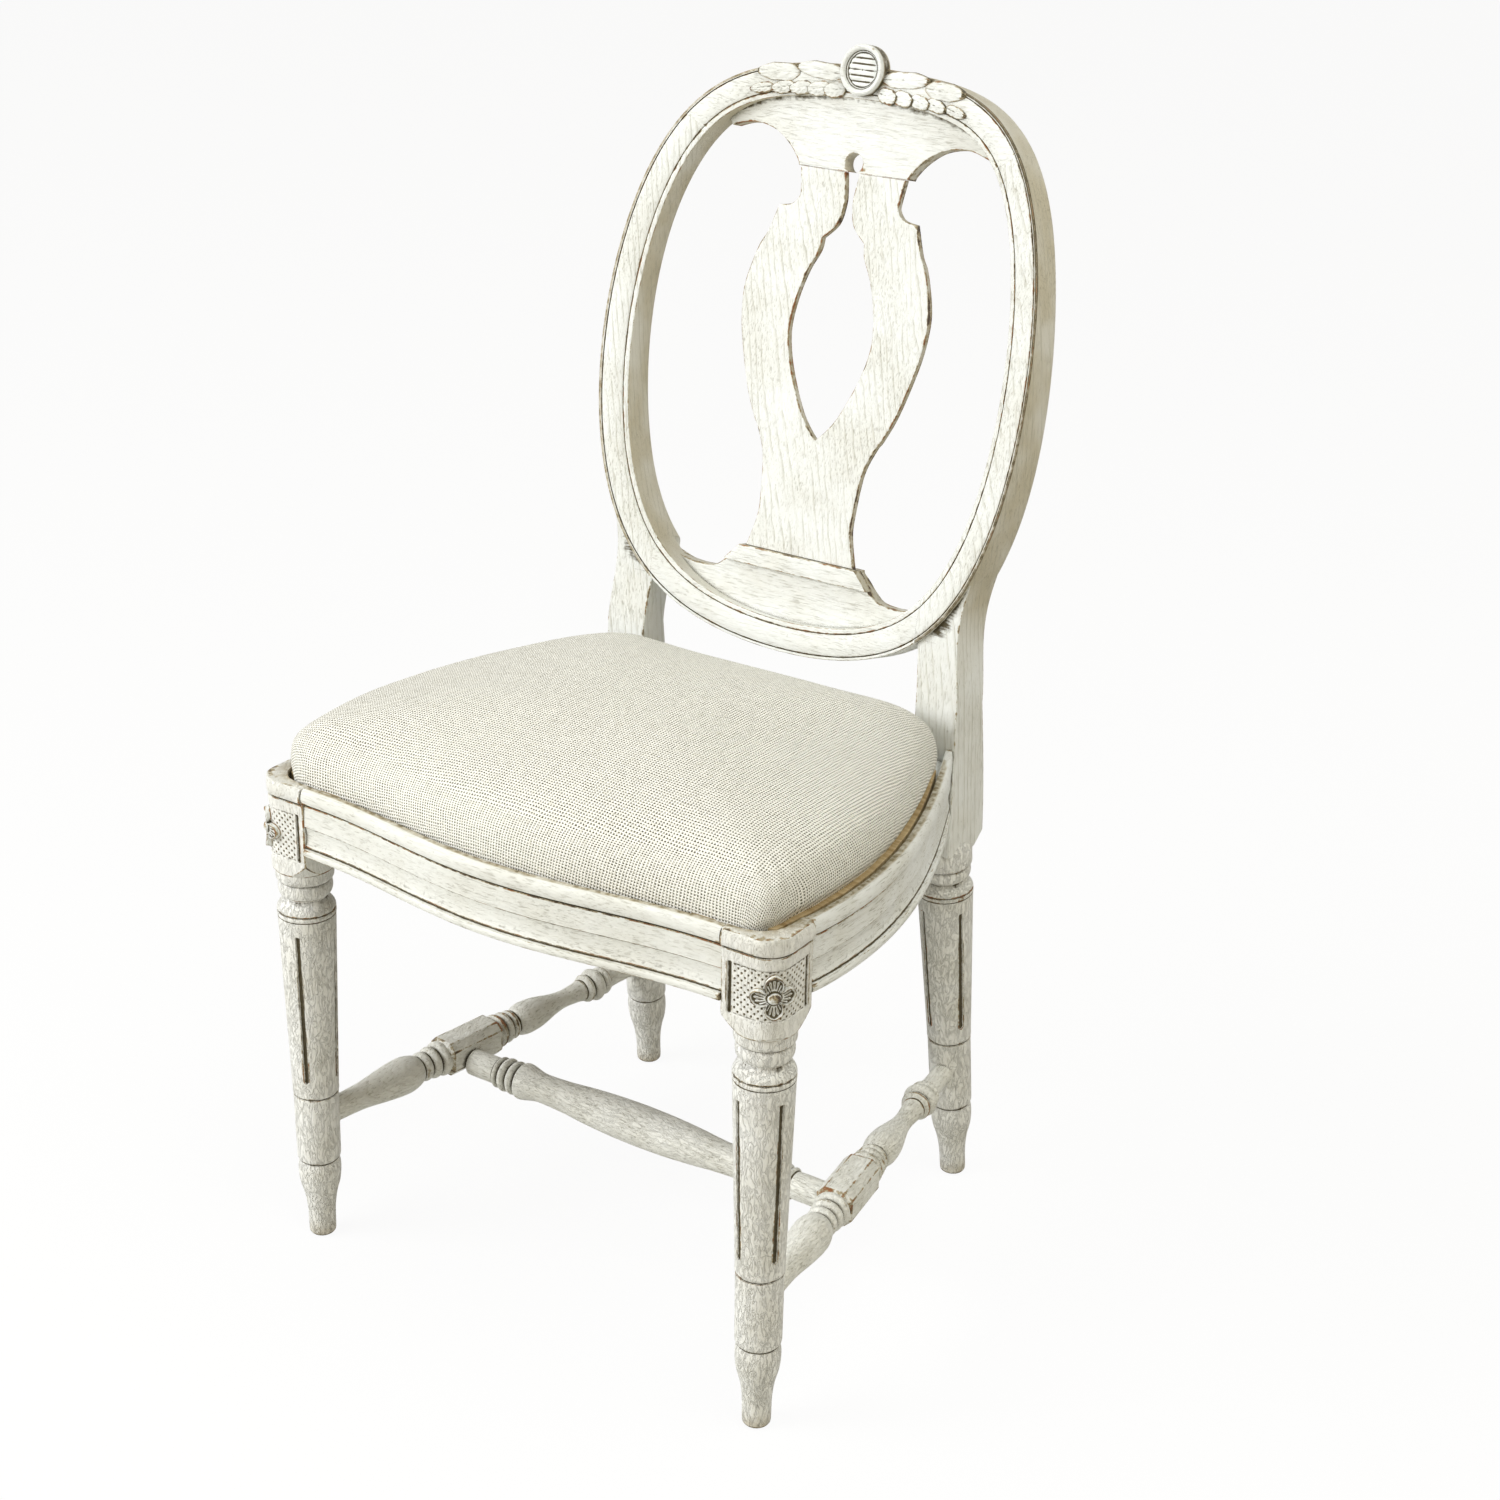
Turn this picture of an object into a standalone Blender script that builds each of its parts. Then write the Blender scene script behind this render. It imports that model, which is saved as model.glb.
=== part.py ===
"""Painted side chair with an oval back, turned legs and a lift-out upholstered seat.

Metres, +Z up. The front faces -Y and +X is on the right of someone who looks at the front.
Sizes are written with Y measured from the axes of the front legs, and at the end the whole chair
hangs from one empty that centres it over the origin.
"""
import bpy
import bmesh
from math import cos, pi, radians, sin, sqrt
from mathutils import Matrix, Vector

# Clearances
joint_gap = 0.0003
seat_clearance = 0.0008
overrun = 0.030
angle_step = 0.001

# Seat frame
rail_top = 0.4345
rail_height = 0.0590
rail_thickness = 0.0220
bead_projection = 0.0040
front_bow = 0.0205
front_bow_half_span = 0.2000
front_rail_setback = 0.0021
side_bow = 0.0265
side_bow_power = 0.85
side_rail_setback = 0.0040
side_rail_rear_inset = 0.0020
rear_rail_thickness = 0.0300
rear_rail_forward = 0.0135
tenon_thickness = 0.0100
tenon_length = 0.0220
tenon_shoulder = 0.0080
rear_tenon_length = 0.0130
seat_lip = 0.0110
rebate_depth = 0.0120

# Front legs: a square block over a turned leg
front_leg_x = 0.2259
block_width = 0.0482
block_drop = 0.0146
block_corner_radius = 0.0190
block_bead_projection = 0.0030
block_corner_bead_share = 0.30
block_shoulder = 0.0090
leg_radius = 0.0242
block_root_share = 0.90
heel_root_share = 0.72
toe_overrun_share = 0.20
foot_height = 0.0755
front_band_height = 0.1405
front_collar_height = 0.0516
turning_sides = 14
panel_groove_width = 0.0037
panel_groove_depth = 0.0022
panel_groove_height = 0.0420
panel_groove_inset = 0.0072

# Flutes in the taper of each leg
flute_width = 0.0036
flute_depth = 0.0016
flute_end_margin = 0.0130
flute_sides = 6
front_flute_turn = radians(22)
rear_flute_turn = radians(26)

# Rear posts: turned leg, stile and one side of the oval, in one piece
rear_foot_x = 0.1702
rear_foot_y = 0.4036
rear_leg_top_x = 0.1620
rear_leg_top_y = 0.3710
stile_bottom = 0.3360
rear_band_height = 0.1455
rear_collar_height = 0.0445
stile_inner_x = 0.1395
stile_outer_x = 0.1790
stile_front_y = 0.3495
stile_depth = 0.0480
stile_heel = 0.0110
stile_cove_height = 0.0530
stile_waist = 0.0075
stile_neck_depth = 0.0375
stile_turn = radians(6.5)
stile_chamfer = 0.0015
post_flare_depth = 0.0395
post_thin_angle = radians(20)
cove_power = 1.7
lean_power = 1.2
neck_power = 1.5
flare_power = 2.4

# Oval of the back, raked, and hollow from side to side
ring_half_width = 0.2064
ring_half_height = 0.2613
back_clearance = 0.0449
ring_centre_y = 0.4142
back_rake = radians(13.0)
back_plan_radius = 0.7280
ring_width = 0.0267
ring_thickness = 0.0295
section_turn_share = 0.40
lower_joint_x = 0.1345
crest_joint_angle = radians(38)
back_tenon_length = 0.0160
back_tenon_width = 0.0120
back_tenon_thickness = 0.0090

# Splat and the webs that hold it
splat_thickness = 0.0066
web_thickness = 0.0140
splat_top_setback = 0.0030
splat_bottom_setback = 0.0085
splat_tenon_height = 0.0100
splat_tenon_thickness = 0.0044
crest_hole_radius = 0.0084
crest_hole_rise_share = 0.90
shoe_projection = 0.0045

# Oval ornament let into the crest, and the rosettes on the front blocks
cartouche_half_width = 0.0203
cartouche_half_height = 0.0208
cartouche_relief = 0.0092
cartouche_let_in = 0.0050
cartouche_drop = 0.0006
rosette_radius = 0.0183
rosette_relief = 0.0042
rosette_waist_share = 0.26
rosette_petal_power = 0.8

# Stretchers
stretcher_height = 0.1137
stretcher_radius = 0.0165
stretcher_bite = 0.0125
stretcher_front_end_radius = 0.0108
stretcher_rear_end_radius = 0.0085
stretcher_block_width = 0.0320
stretcher_block_chamfer = 0.0065
stretcher_block_share = 0.428
stretcher_block_length = 0.0660
cross_radius = 0.0180
cross_drop = 0.0070
cross_forward = 0.0100
cross_tenon_radius = 0.0070
cross_tenon_length = 0.0110
stretcher_sides = 10

# Corner blocks inside the seat frame
corner_block_height = 0.0340
corner_block_reach = 0.0600

# Lift-out seat
cover_thickness = 0.0012
cover_hem = 0.0180
dust_cover_thickness = 0.0008
dust_cover_margin = 0.0010
board_thickness = 0.0090
seat_wall_height = 0.0290
seat_shoulder = 0.0150
seat_crown = 0.0285
seat_corner_radius = 0.0300
seat_crown_power = 2.2
seat_belly_share = 0.55
seat_turn_share = 0.25
seat_turn_rise_share = 0.38
seat_rear_corner_radius = 0.0420
seat_rear_margin = 0.0045
seat_points = 38

# Outline of the turned foot: height as a share of foot_height, radius as a share of leg_radius
foot_shares = [
    (0.000, 0.31), (0.018, 0.40), (0.055, 0.465), (0.290, 0.48), (0.430, 0.52), (0.560, 0.59),
    (0.690, 0.69), (0.800, 0.74), (0.900, 0.75), (0.965, 0.74), (1.000, 0.70), (1.035, 0.74), (1.070, 0.76),
]
# Band between ankle and taper: height as a share of leg_radius above the band, radius share
band_shares = [(-0.08, 0.785), (0.00, 0.745), (0.08, 0.80), (0.18, 0.80)]
# Collar over the taper: height as a share of the collar height, radius as a share of leg_radius
collar_shares = [
    (-0.02, 0.99), (0.00, 0.955), (0.03, 1.00), (0.075, 1.00), (0.095, 0.955), (0.12, 0.995), (0.18, 0.96),
    (0.23, 0.88), (0.275, 0.79), (0.315, 0.745), (0.345, 0.75), (0.370, 0.83), (0.43, 0.905), (0.50, 0.925),
    (0.575, 0.905), (0.62, 0.85), (0.64, 0.92), (0.69, 0.98), (0.84, 0.985),
]

# Moulding on the rails: projection as a share of bead_projection, height as a share of rail_height
rail_shares = [
    (0.55, 0.000), (1.00, 0.020), (1.10, 0.060), (0.85, 0.100), (0.00, 0.115), (0.10, 0.140), (-0.25, 0.220),
    (-0.28, 0.330), (0.00, 0.430), (0.25, 0.445), (0.18, 0.600), (0.05, 0.735), (-0.30, 0.762), (0.50, 0.782),
    (0.95, 0.820), (1.00, 0.880), (0.90, 0.945), (0.45, 0.988), (0.08, 1.000),
]
# Bead round the top of a block: projection as a share of block_bead_projection, height as above
block_shares = [
    (0.0, 0.735), (-0.45, 0.762), (0.50, 0.785), (0.95, 0.820), (1.00, 0.880), (0.90, 0.945), (0.10, 1.0),
]

# Section of the oval: place across its face from the outer edge, and depth behind the face
ring_section_shares = [
    (0.00, 0.04), (0.03, 0.00), (0.08, 0.00), (0.109, 0.06), (0.14, 0.01), (0.25, -0.03), (0.47, -0.05),
    (0.69, -0.03), (0.80, 0.01), (0.831, 0.06), (0.86, 0.00), (0.96, 0.00), (1.00, 0.03), (1.00, 0.90),
    (0.90, 1.00), (0.10, 1.00), (0.00, 0.90),
]
groove_share = 0.109
band_middle_share = 0.50
# How the oval leaves an ellipse: squarer shoulders, wider at the top than at the foot
width_square_share = -0.0082
width_lean_share = -0.0277
height_square_share = 0.0672
height_lean_share = 0.0547

# Right half of the splat, as shares of the oval's half width and half height; runs meet at cusps
splat_upper_shares = [(0.247, 0.560), (0.233, 0.487), (0.235, 0.462), (0.265, 0.437), (0.325, 0.428)]
splat_lower_shares = [
    (0.325, 0.428), (0.363, 0.338), (0.397, 0.287), (0.436, 0.180), (0.441, 0.102), (0.422, -0.004),
    (0.363, -0.165), (0.310, -0.259), (0.284, -0.292), (0.242, -0.377), (0.226, -0.507), (0.228, -0.582),
    (0.262, -0.684),
]
slit_shares = [(0.034, 0.560), (0.022, 0.500), (0.020, 0.456), (0.039, 0.393), (0.099, 0.344)]
opening_shares = [
    (0.099, 0.344), (0.107, 0.302), (0.150, 0.232), (0.184, 0.141), (0.199, 0.043), (0.179, -0.047),
    (0.136, -0.138), (0.087, -0.216), (0.044, -0.263), (0.000, -0.299),
]
# Edge of the crest's web from the splat's shoulder up to the oval, and of the shoe down to it
crest_web_shares = [
    (0.257, 0.560), (0.268, 0.578), (0.310, 0.617), (0.378, 0.656), (0.460, 0.674), (0.533, 0.672),
    (0.600, 0.655),
]
shoe_shares = [
    (0.284, -0.691), (0.320, -0.716), (0.352, -0.742), (0.398, -0.770), (0.460, -0.778), (0.540, -0.775),
    (0.600, -0.762), (0.660, -0.745),
]
shoe_fillet_share = -0.742

# Side stretcher: place along it from the front leg's axis, radius as a share of stretcher_radius
stretcher_front_shares = [
    (0.085, 0.66), (0.130, 0.70), (0.180, 0.86), (0.225, 0.98), (0.255, 0.98), (0.280, 0.84), (0.292, 0.66),
    (0.298, 0.80), (0.310, 0.82), (0.322, 0.72), (0.332, 0.84), (0.345, 0.82), (0.352, 0.74),
]
stretcher_rear_shares = [
    (0.520, 0.74), (0.535, 0.66), (0.545, 0.80), (0.560, 0.82), (0.568, 0.66), (0.585, 0.84), (0.605, 0.90),
    (0.640, 0.84), (0.690, 0.58), (0.725, 0.49), (0.765, 0.56), (0.790, 0.64), (0.800, 0.84), (0.822, 0.90),
    (0.838, 0.66), (0.848, 0.80), (0.862, 0.78), (0.875, 0.60), (0.895, 0.54),
]
# Right half of the cross stretcher, from the middle outwards
cross_shares = [
    (0.000, 1.00), (0.150, 0.97), (0.300, 0.88), (0.420, 0.77), (0.546, 0.71), (0.600, 0.74), (0.650, 0.86),
    (0.685, 0.90), (0.702, 0.82), (0.712, 0.64), (0.727, 0.76), (0.757, 0.78), (0.772, 0.63), (0.788, 0.76),
    (0.825, 0.78), (0.840, 0.655),
]

# Ornament outlines: scale of the oval and relief towards the viewer
cartouche_shares = [(1.00, 0.62), (0.94, 0.94), (0.84, 1.00), (0.75, 0.88), (0.66, 0.66), (0.40, 0.84)]
rosette_ring_shares = [(1.00, 0.25), (0.90, 0.62), (0.62, 0.50), (0.40, 0.42), (0.34, 0.80), (0.18, 1.00)]
# Rings over the back of a rosette, from its middle outwards
rosette_base_shares = (0.25, 0.50, 0.75, 1.00)
# Rings over the crown of the seat, as shares of its size inside the shoulder
seat_ring_shares = (0.90, 0.77, 0.60, 0.42, 0.22)

# Colours in linear light
paint_colour = (0.80, 0.77, 0.68)
raw_wood_colour = (0.52, 0.37, 0.22)
linen_colour = (0.74, 0.70, 0.60)
foam_colour = (0.80, 0.74, 0.50)
dust_cover_colour = (0.05, 0.05, 0.05)


# Working values

rail_bottom = rail_top - rail_height
ring_centre_height = rail_top + back_clearance + ring_half_height * cos(back_rake)
leg_turned_height = rail_bottom - block_drop
block_half = block_width / 2
block_inner_x = front_leg_x - block_half
block_outer_x = front_leg_x + block_half
ledge_height = rail_top - rebate_depth
frame_depth = stile_front_y - block_half


def clearScene():
    for item in list(bpy.data.objects):
        bpy.data.objects.remove(item)


def makeMaterial(name, colour, roughness, metallic=0.0):
    material = bpy.data.materials.new(name)
    material.use_nodes = True
    shader = material.node_tree.nodes["Principled BSDF"]
    shader.inputs["Base Color"].default_value = (*colour, 1.0)
    shader.inputs["Roughness"].default_value = roughness
    shader.inputs["Metallic"].default_value = metallic
    material.diffuse_color = (*colour, 1.0)
    return material


def objectFromMesh(name, bm):
    bmesh.ops.recalc_face_normals(bm, faces=bm.faces)
    mesh = bpy.data.meshes.new(name)
    bm.to_mesh(mesh)
    bm.free()
    item = bpy.data.objects.new(name, mesh)
    bpy.context.scene.collection.objects.link(item)
    return item


def loft(name, rings, cyclic=False, split=False):
    """Skins rings of points with equal counts. Ends are capped, or joined in a cyclic loft.

    A ring of one point is a pole, and two poles that follow each other close a surface and open the next.
    Faces that would be twisted are split into triangles.
    """
    bm = bmesh.new()
    loops = [[bm.verts.new(point) for point in ring] for ring in rings]
    pairs = list(zip(loops, loops[1:]))
    if cyclic:
        pairs.append((loops[-1], loops[0]))
    for low, high in pairs:
        count = max(len(low), len(high))
        if count == 1:
            continue
        for i in range(count):
            j = (i + 1) % count
            if len(low) == 1:
                bm.faces.new((low[0], high[j], high[i]))
            elif len(high) == 1:
                bm.faces.new((low[i], low[j], high[0]))
            else:
                bm.faces.new((low[i], low[j], high[j], high[i]))
    if not cyclic:
        for loop in (loops[0], loops[-1]):
            if len(loop) > 2:
                bm.faces.new(loop)
    if split:
        bmesh.ops.triangulate(bm, faces=bm.faces)
    return objectFromMesh(name, bm)


def box(name, low, high):
    x0, y0, z0 = low
    x1, y1, z1 = high
    outline = [(x0, y0), (x1, y0), (x1, y1), (x0, y1)]
    return loft(name, [[(x, y, z) for x, y in outline] for z in (z0, z1)])


def turned(name, profile, start, end, sides, turn=0.0):
    """A turned solid: profile rows are (distance from start, radius), along the line start to end."""
    start = Vector(start)
    along = (Vector(end) - start).normalized()
    frame = along.to_track_quat('Z', 'Y').to_matrix()
    rings = []
    for distance, radius in profile:
        centre = start + along * distance
        ring = []
        for i in range(sides):
            angle = turn + 2 * pi * i / sides
            ring.append(centre + frame @ Vector((radius * cos(angle), radius * sin(angle), 0)))
        rings.append(ring)
    return loft(name, rings)


def applyBoolean(body, tool, operation):
    modifier = body.modifiers.new("boolean", 'BOOLEAN')
    modifier.operation = operation
    modifier.solver = 'EXACT'
    modifier.object = tool
    depsgraph = bpy.context.evaluated_depsgraph_get()
    mesh = bpy.data.meshes.new_from_object(body.evaluated_get(depsgraph))
    body.modifiers.remove(modifier)
    body.data = mesh
    bpy.data.objects.remove(tool)


def cut(body, *tools):
    for tool in tools:
        applyBoolean(body, tool, 'DIFFERENCE')


def join(body, *tools):
    for tool in tools:
        applyBoolean(body, tool, 'UNION')


def mirrored(name, source):
    """A copy of a right-hand piece for the left-hand side."""
    bm = bmesh.new()
    bm.from_mesh(source.data)
    bmesh.ops.transform(bm, matrix=Matrix.Diagonal((-1, 1, 1, 1)), verts=bm.verts)
    return objectFromMesh(name, bm)


def smoothRun(points, steps):
    """A smooth line through the points, with its ends kept."""
    run = []
    last = len(points) - 1
    for i in range(last):
        p0 = Vector(points[max(i - 1, 0)])
        p1 = Vector(points[i])
        p2 = Vector(points[i + 1])
        p3 = Vector(points[min(i + 2, last)])
        for step in range(steps):
            t = step / steps
            bend = (p2 - p0) * t + (2 * p0 - 5 * p1 + 4 * p2 - p3) * t * t
            run.append(p1 + (bend + (3 * p1 - p0 - 3 * p2 + p3) * t * t * t) / 2)
    run.append(Vector(points[last]))
    return run


def spread(first, last, count):
    return [first + (last - first) * i / (count - 1) for i in range(count)]


# Seat frame lines in plan

def frontBeadY(x):
    """The outer line of the front rail's bead: a bow that runs out towards the blocks."""
    share = min(abs(x) / front_bow_half_span, 1)
    end = -block_half + front_rail_setback - bead_projection
    return end - front_bow * (1 + cos(pi * share)) / 2


def sideBeadX(y):
    """The outer line of a side rail's bead, fullest a little in front of its middle."""
    share = min(max((y - block_half) / frame_depth, 0), 1)
    front = block_outer_x - side_rail_setback + bead_projection
    rear = stile_outer_x + side_rail_rear_inset
    return front + (rear - front) * share + side_bow * sin(pi * share ** side_bow_power)


def sideInnerX(y):
    share = (y - block_half) / frame_depth
    inset = bead_projection + rail_thickness
    front = block_outer_x - side_rail_setback + bead_projection - inset
    rear = stile_outer_x + side_rail_rear_inset - inset
    return front + (rear - front) * share


front_inner_y = -block_half + front_rail_setback + rail_thickness
rear_rail_front_y = stile_front_y - rear_rail_forward


def roundedCorner(before, corner, after, radius, steps):
    """Points of a curve that cuts a corner off, starting and ending at the radius from it."""
    start = corner + (before - corner).normalized() * radius
    end = corner + (after - corner).normalized() * radius
    points = []
    for i in range(steps + 1):
        t = i / steps
        points.append(start * (1 - t) ** 2 + corner * 2 * t * (1 - t) + end * t * t)
    return points


def seatEdge():
    """The seat in plan: it follows the bead of the rails, with rounded corners."""
    rear_y = stile_front_y - seat_rear_margin
    front_x = sideBeadX(block_half) - seat_lip
    front_corner = Vector((front_x, frontBeadY(front_bow_half_span) + seat_lip))
    rear_corner = Vector((sideBeadX(rear_y) - seat_lip, rear_y))
    half = [Vector((x, frontBeadY(x) + seat_lip)) for x in spread(0, front_x - seat_corner_radius, 14)]
    above = Vector((front_x, block_half))
    half += roundedCorner(half[-1], front_corner, above, seat_corner_radius, 6)[1:]
    last_side_y = rear_y - seat_rear_corner_radius
    half += [Vector((sideBeadX(y) - seat_lip, y)) for y in spread(block_half, last_side_y, 14)]
    half += roundedCorner(half[-1], rear_corner, Vector((0, rear_y)), seat_rear_corner_radius, 7)[1:]
    half.append(Vector((0, rear_y)))
    whole = half + [Vector((-point.x, point.y)) for point in reversed(half[1:-1])]
    return resample(whole, seat_points)


def seatOutline(inset):
    """The seat's edge moved inwards by the inset, square to itself, or outwards if it is negative."""
    edge = seatEdge()
    outline = []
    for i, point in enumerate(edge):
        before = (point - edge[i - 1]).normalized()
        after = (edge[(i + 1) % len(edge)] - point).normalized()
        middle = (before + after).normalized()
        inward = Vector((-middle.y, middle.x))
        outline.append(point + inward * inset / max(middle.dot(after), 0.5))
    return outline


def resample(points, count):
    """Even steps along a closed line, starting at its first point."""
    lengths = [0.0]
    closed = points + [points[0]]
    for first, second in zip(closed, closed[1:]):
        lengths.append(lengths[-1] + (second - first).length)
    result = []
    index = 0
    for i in range(count):
        target = lengths[-1] * i / count
        while lengths[index + 1] < target:
            index += 1
        run = lengths[index + 1] - lengths[index]
        share = (target - lengths[index]) / run if run > 0 else 0
        result.append(closed[index].lerp(closed[index + 1], share))
    return result


def prism(name, outline, low, high):
    return loft(name, [[(x, y, z) for x, y in outline] for z in (low, high)])


def seatWell():
    """The recess for the seat, as a cutter that stands on the ledge."""
    outline = seatOutline(-seat_clearance)
    return prism("seat_well", outline, ledge_height, rail_top + overrun)


# Legs

def legProfile(turned_height, band_height, collar_height):
    """Foot, ankle, taper and collar of a turned leg as (height, radius), up to its shoulder."""
    rows = [(height * foot_height, radius * leg_radius) for height, radius in foot_shares]
    rows += [(band_height + height * leg_radius, radius * leg_radius) for height, radius in band_shares]
    base = turned_height - collar_height
    rows += [(base + height * collar_height, radius * leg_radius) for height, radius in collar_shares]
    return rows


def taperRadius(height, band_height, taper_top):
    """Radius of the long taper between the band and the collar."""
    low_height = band_height + band_shares[-1][0] * leg_radius
    low = band_shares[-1][1] * leg_radius
    high = collar_shares[0][1] * leg_radius
    return low + (high - low) * (height - low_height) / (taper_top - low_height)


def fluteCutters(start, end, band_height, taper_top, turn):
    """Four round-ended grooves that run down the taper, a quarter turn apart."""
    start = Vector(start)
    along = (Vector(end) - start).normalized()
    frame = along.to_track_quat('Z', 'Y').to_matrix()
    tool_radius = flute_width / 2
    low = band_height + flute_end_margin + tool_radius
    high = taper_top - flute_end_margin + tool_radius
    sink = tool_radius - flute_depth
    cutters = []
    for quarter in range(4):
        angle = turn + quarter * pi / 2
        outward = frame @ Vector((cos(angle), sin(angle), 0))
        ends = []
        for height in (low, high):
            radius = taperRadius(height, band_height, taper_top) + sink
            ends.append(start + along * height + outward * radius)
        length = (ends[1] - ends[0]).length
        profile = [(-tool_radius, tool_radius / 3), (0, tool_radius)]
        profile += [(length, tool_radius), (length + tool_radius, tool_radius / 3)]
        cutters.append(turned("flute", profile, ends[0], ends[1], flute_sides))
    return cutters


def blockOutline(grow):
    """Plan of the right-hand front block: its outer corner is rounded, and only its outer sides grow."""
    centre = Vector((block_half - block_corner_radius, -block_half + block_corner_radius))
    points = [Vector((-block_half, -block_half - grow))]
    for angle in spread(-pi / 2, 0, 7):
        reach = block_corner_radius + grow * (1 + (block_corner_bead_share - 1) * abs(sin(2 * angle)))
        points.append(centre + Vector((cos(angle), sin(angle))) * reach)
    points.append(Vector((block_half + grow, block_half)))
    points.append(Vector((-block_half, block_half)))
    return [(point.x + front_leg_x, point.y) for point in points]


def frontLeg():
    """Turned leg and square block in one piece, mortised for two rails and the side stretcher."""
    floor = Vector((front_leg_x, 0, 0))
    up = floor + Vector((0, 0, leg_turned_height))
    profile = legProfile(leg_turned_height, front_band_height, front_collar_height)
    profile.append((leg_turned_height + block_shoulder, leg_radius * block_root_share))
    leg = turned("front_leg_right", profile, floor, up, turning_sides)

    block_base = leg_turned_height - block_shoulder
    rings = [[(x, y, block_base) for x, y in blockOutline(0)]]
    for grow, height in block_shares:
        level = rail_bottom + height * rail_height
        rings.append([(x, y, level) for x, y in blockOutline(grow * block_bead_projection)])
    block = loft("block", rings)
    corner_reach = block_half * sqrt(2)
    shoulder = [(block_base - overrun, leg_radius), (block_base, leg_radius),
                (leg_turned_height + block_shoulder / 2, corner_reach), (rail_top + overrun, corner_reach)]
    envelope = turned("shoulder", shoulder, floor, up, 2 * turning_sides)
    applyBoolean(block, envelope, 'INTERSECT')
    join(leg, block)

    tenon_low, tenon_high = tenonHeights()
    front_centre = front_inner_y - rail_thickness / 2
    side_centre = sideTenonX(block_half)
    half = tenon_thickness / 2 + joint_gap
    depth = tenon_length + joint_gap
    front_mortise = box("mortise", (block_inner_x - overrun, front_centre - half, tenon_low - joint_gap),
                        (block_inner_x + depth, front_centre + half, tenon_high + joint_gap))
    side_mortise = box("mortise", (side_centre - half, block_half - depth, tenon_low - joint_gap),
                       (side_centre + half, block_half + overrun, tenon_high + joint_gap))
    cut(leg, front_mortise, side_mortise, seatWell())

    groove_low = rail_bottom + block_shares[0][1] * rail_height - panel_groove_height - panel_groove_inset
    groove_high = groove_low + panel_groove_height
    left = block_inner_x + panel_groove_inset
    rear = block_half - panel_groove_inset
    cut(leg, box("groove", (left - panel_groove_width / 2, -block_half - overrun, groove_low),
                 (left + panel_groove_width / 2, -block_half + panel_groove_depth, groove_high)))
    cut(leg, box("groove", (block_outer_x - panel_groove_depth, rear - panel_groove_width / 2, groove_low),
                 (block_outer_x + overrun, rear + panel_groove_width / 2, groove_high)))

    taper_top = leg_turned_height - front_collar_height
    cut(leg, *fluteCutters(floor, up, front_band_height, taper_top, -pi / 2 - front_flute_turn))
    cut(leg, stretcherSocket(stretcherEnds()[0], stretcher_front_end_radius))
    return leg


def tenonHeights():
    return rail_bottom + tenon_shoulder, ledge_height - tenon_shoulder


def sideTenonX(y):
    return sideInnerX(y) + rail_thickness / 2


# Rails

def frontRail():
    """Bowed front rail with its moulding, a straight inner side and a tenon at each end."""
    end_x = block_inner_x - joint_gap
    stations = spread(-end_x, end_x, 15)
    rings = []
    for x in stations:
        face = frontBeadY(x) + bead_projection
        ring = [(x, face - out * bead_projection, rail_bottom + up * rail_height) for out, up in rail_shares]
        ring.append((x, front_inner_y, rail_top))
        ring.append((x, front_inner_y, rail_bottom))
        rings.append(ring)
    rail = loft("front_rail", rings)
    low, high = tenonHeights()
    centre = front_inner_y - rail_thickness / 2
    half = tenon_thickness / 2
    reach = block_inner_x + tenon_length
    join(rail, box("tenon", (-reach, centre - half, low), (reach, centre + half, high)))
    cut(rail, seatWell())
    return rail


def sideRail():
    """Bowed side rail between the front block and the stile."""
    front_y = block_half + joint_gap
    rear_y = stile_front_y - joint_gap
    rings = []
    for y in spread(front_y, rear_y, 13):
        face = sideBeadX(y) - bead_projection
        fade = min((rear_y - y) / (2 * rail_thickness), 1)
        ring = []
        for out, up in rail_shares:
            projection = out * bead_projection
            if projection > 0:
                projection *= fade ** 0.5
            ring.append((face + projection, y, rail_bottom + up * rail_height))
        ring.append((sideInnerX(y), y, rail_top))
        ring.append((sideInnerX(y), y, rail_bottom))
        rings.append(ring)
    rail = loft("side_rail_right", rings)
    low, high = tenonHeights()
    half = tenon_thickness / 2
    front_x = sideTenonX(block_half)
    rear_x = sideTenonX(stile_front_y)
    join(rail, box("tenon", (front_x - half, block_half - tenon_length, low),
                   (front_x + half, block_half + tenon_length, high)))
    join(rail, box("tenon", (rear_x - half, stile_front_y - tenon_length, low),
                   (rear_x + half, stile_front_y + rear_tenon_length, high)))
    cut(rail, seatWell())
    return rail


def rearRail():
    """Plain rail between the stiles; its top is the ledge for the back of the seat."""
    end_x = stile_inner_x - joint_gap
    rail = box("rear_rail", (-end_x, rear_rail_front_y, rail_bottom),
               (end_x, rear_rail_front_y + rear_rail_thickness, ledge_height))
    low, high = tenonHeights()
    reach = stile_inner_x + rear_tenon_length
    near, far = rearTenonDepth()
    join(rail, box("tenon", (-reach, near, low), (reach, far, high)))
    return rail


def rearTenonDepth():
    far = rear_rail_front_y + rear_rail_thickness - tenon_shoulder / 4
    return far - tenon_thickness, far


# The back

def ringCentreLine(t):
    """Outer groove of the oval: x, and the height along the rake from the oval's centre."""
    x = ring_half_width * (cos(t) + width_square_share * cos(3 * t) + width_lean_share * sin(2 * t))
    s = ring_half_height * (sin(t) + height_square_share * sin(3 * t) + height_lean_share * cos(2 * t))
    return Vector((x, s))


def ringPoint(t, across_share):
    """A point on the face at a share of the width, measured inwards from the outer edge."""
    tangent = (ringCentreLine(t + angle_step) - ringCentreLine(t - angle_step)).normalized()
    outward = Vector((tangent.y, -tangent.x))
    return ringCentreLine(t) + outward * (groove_share - across_share) * ring_width


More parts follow.
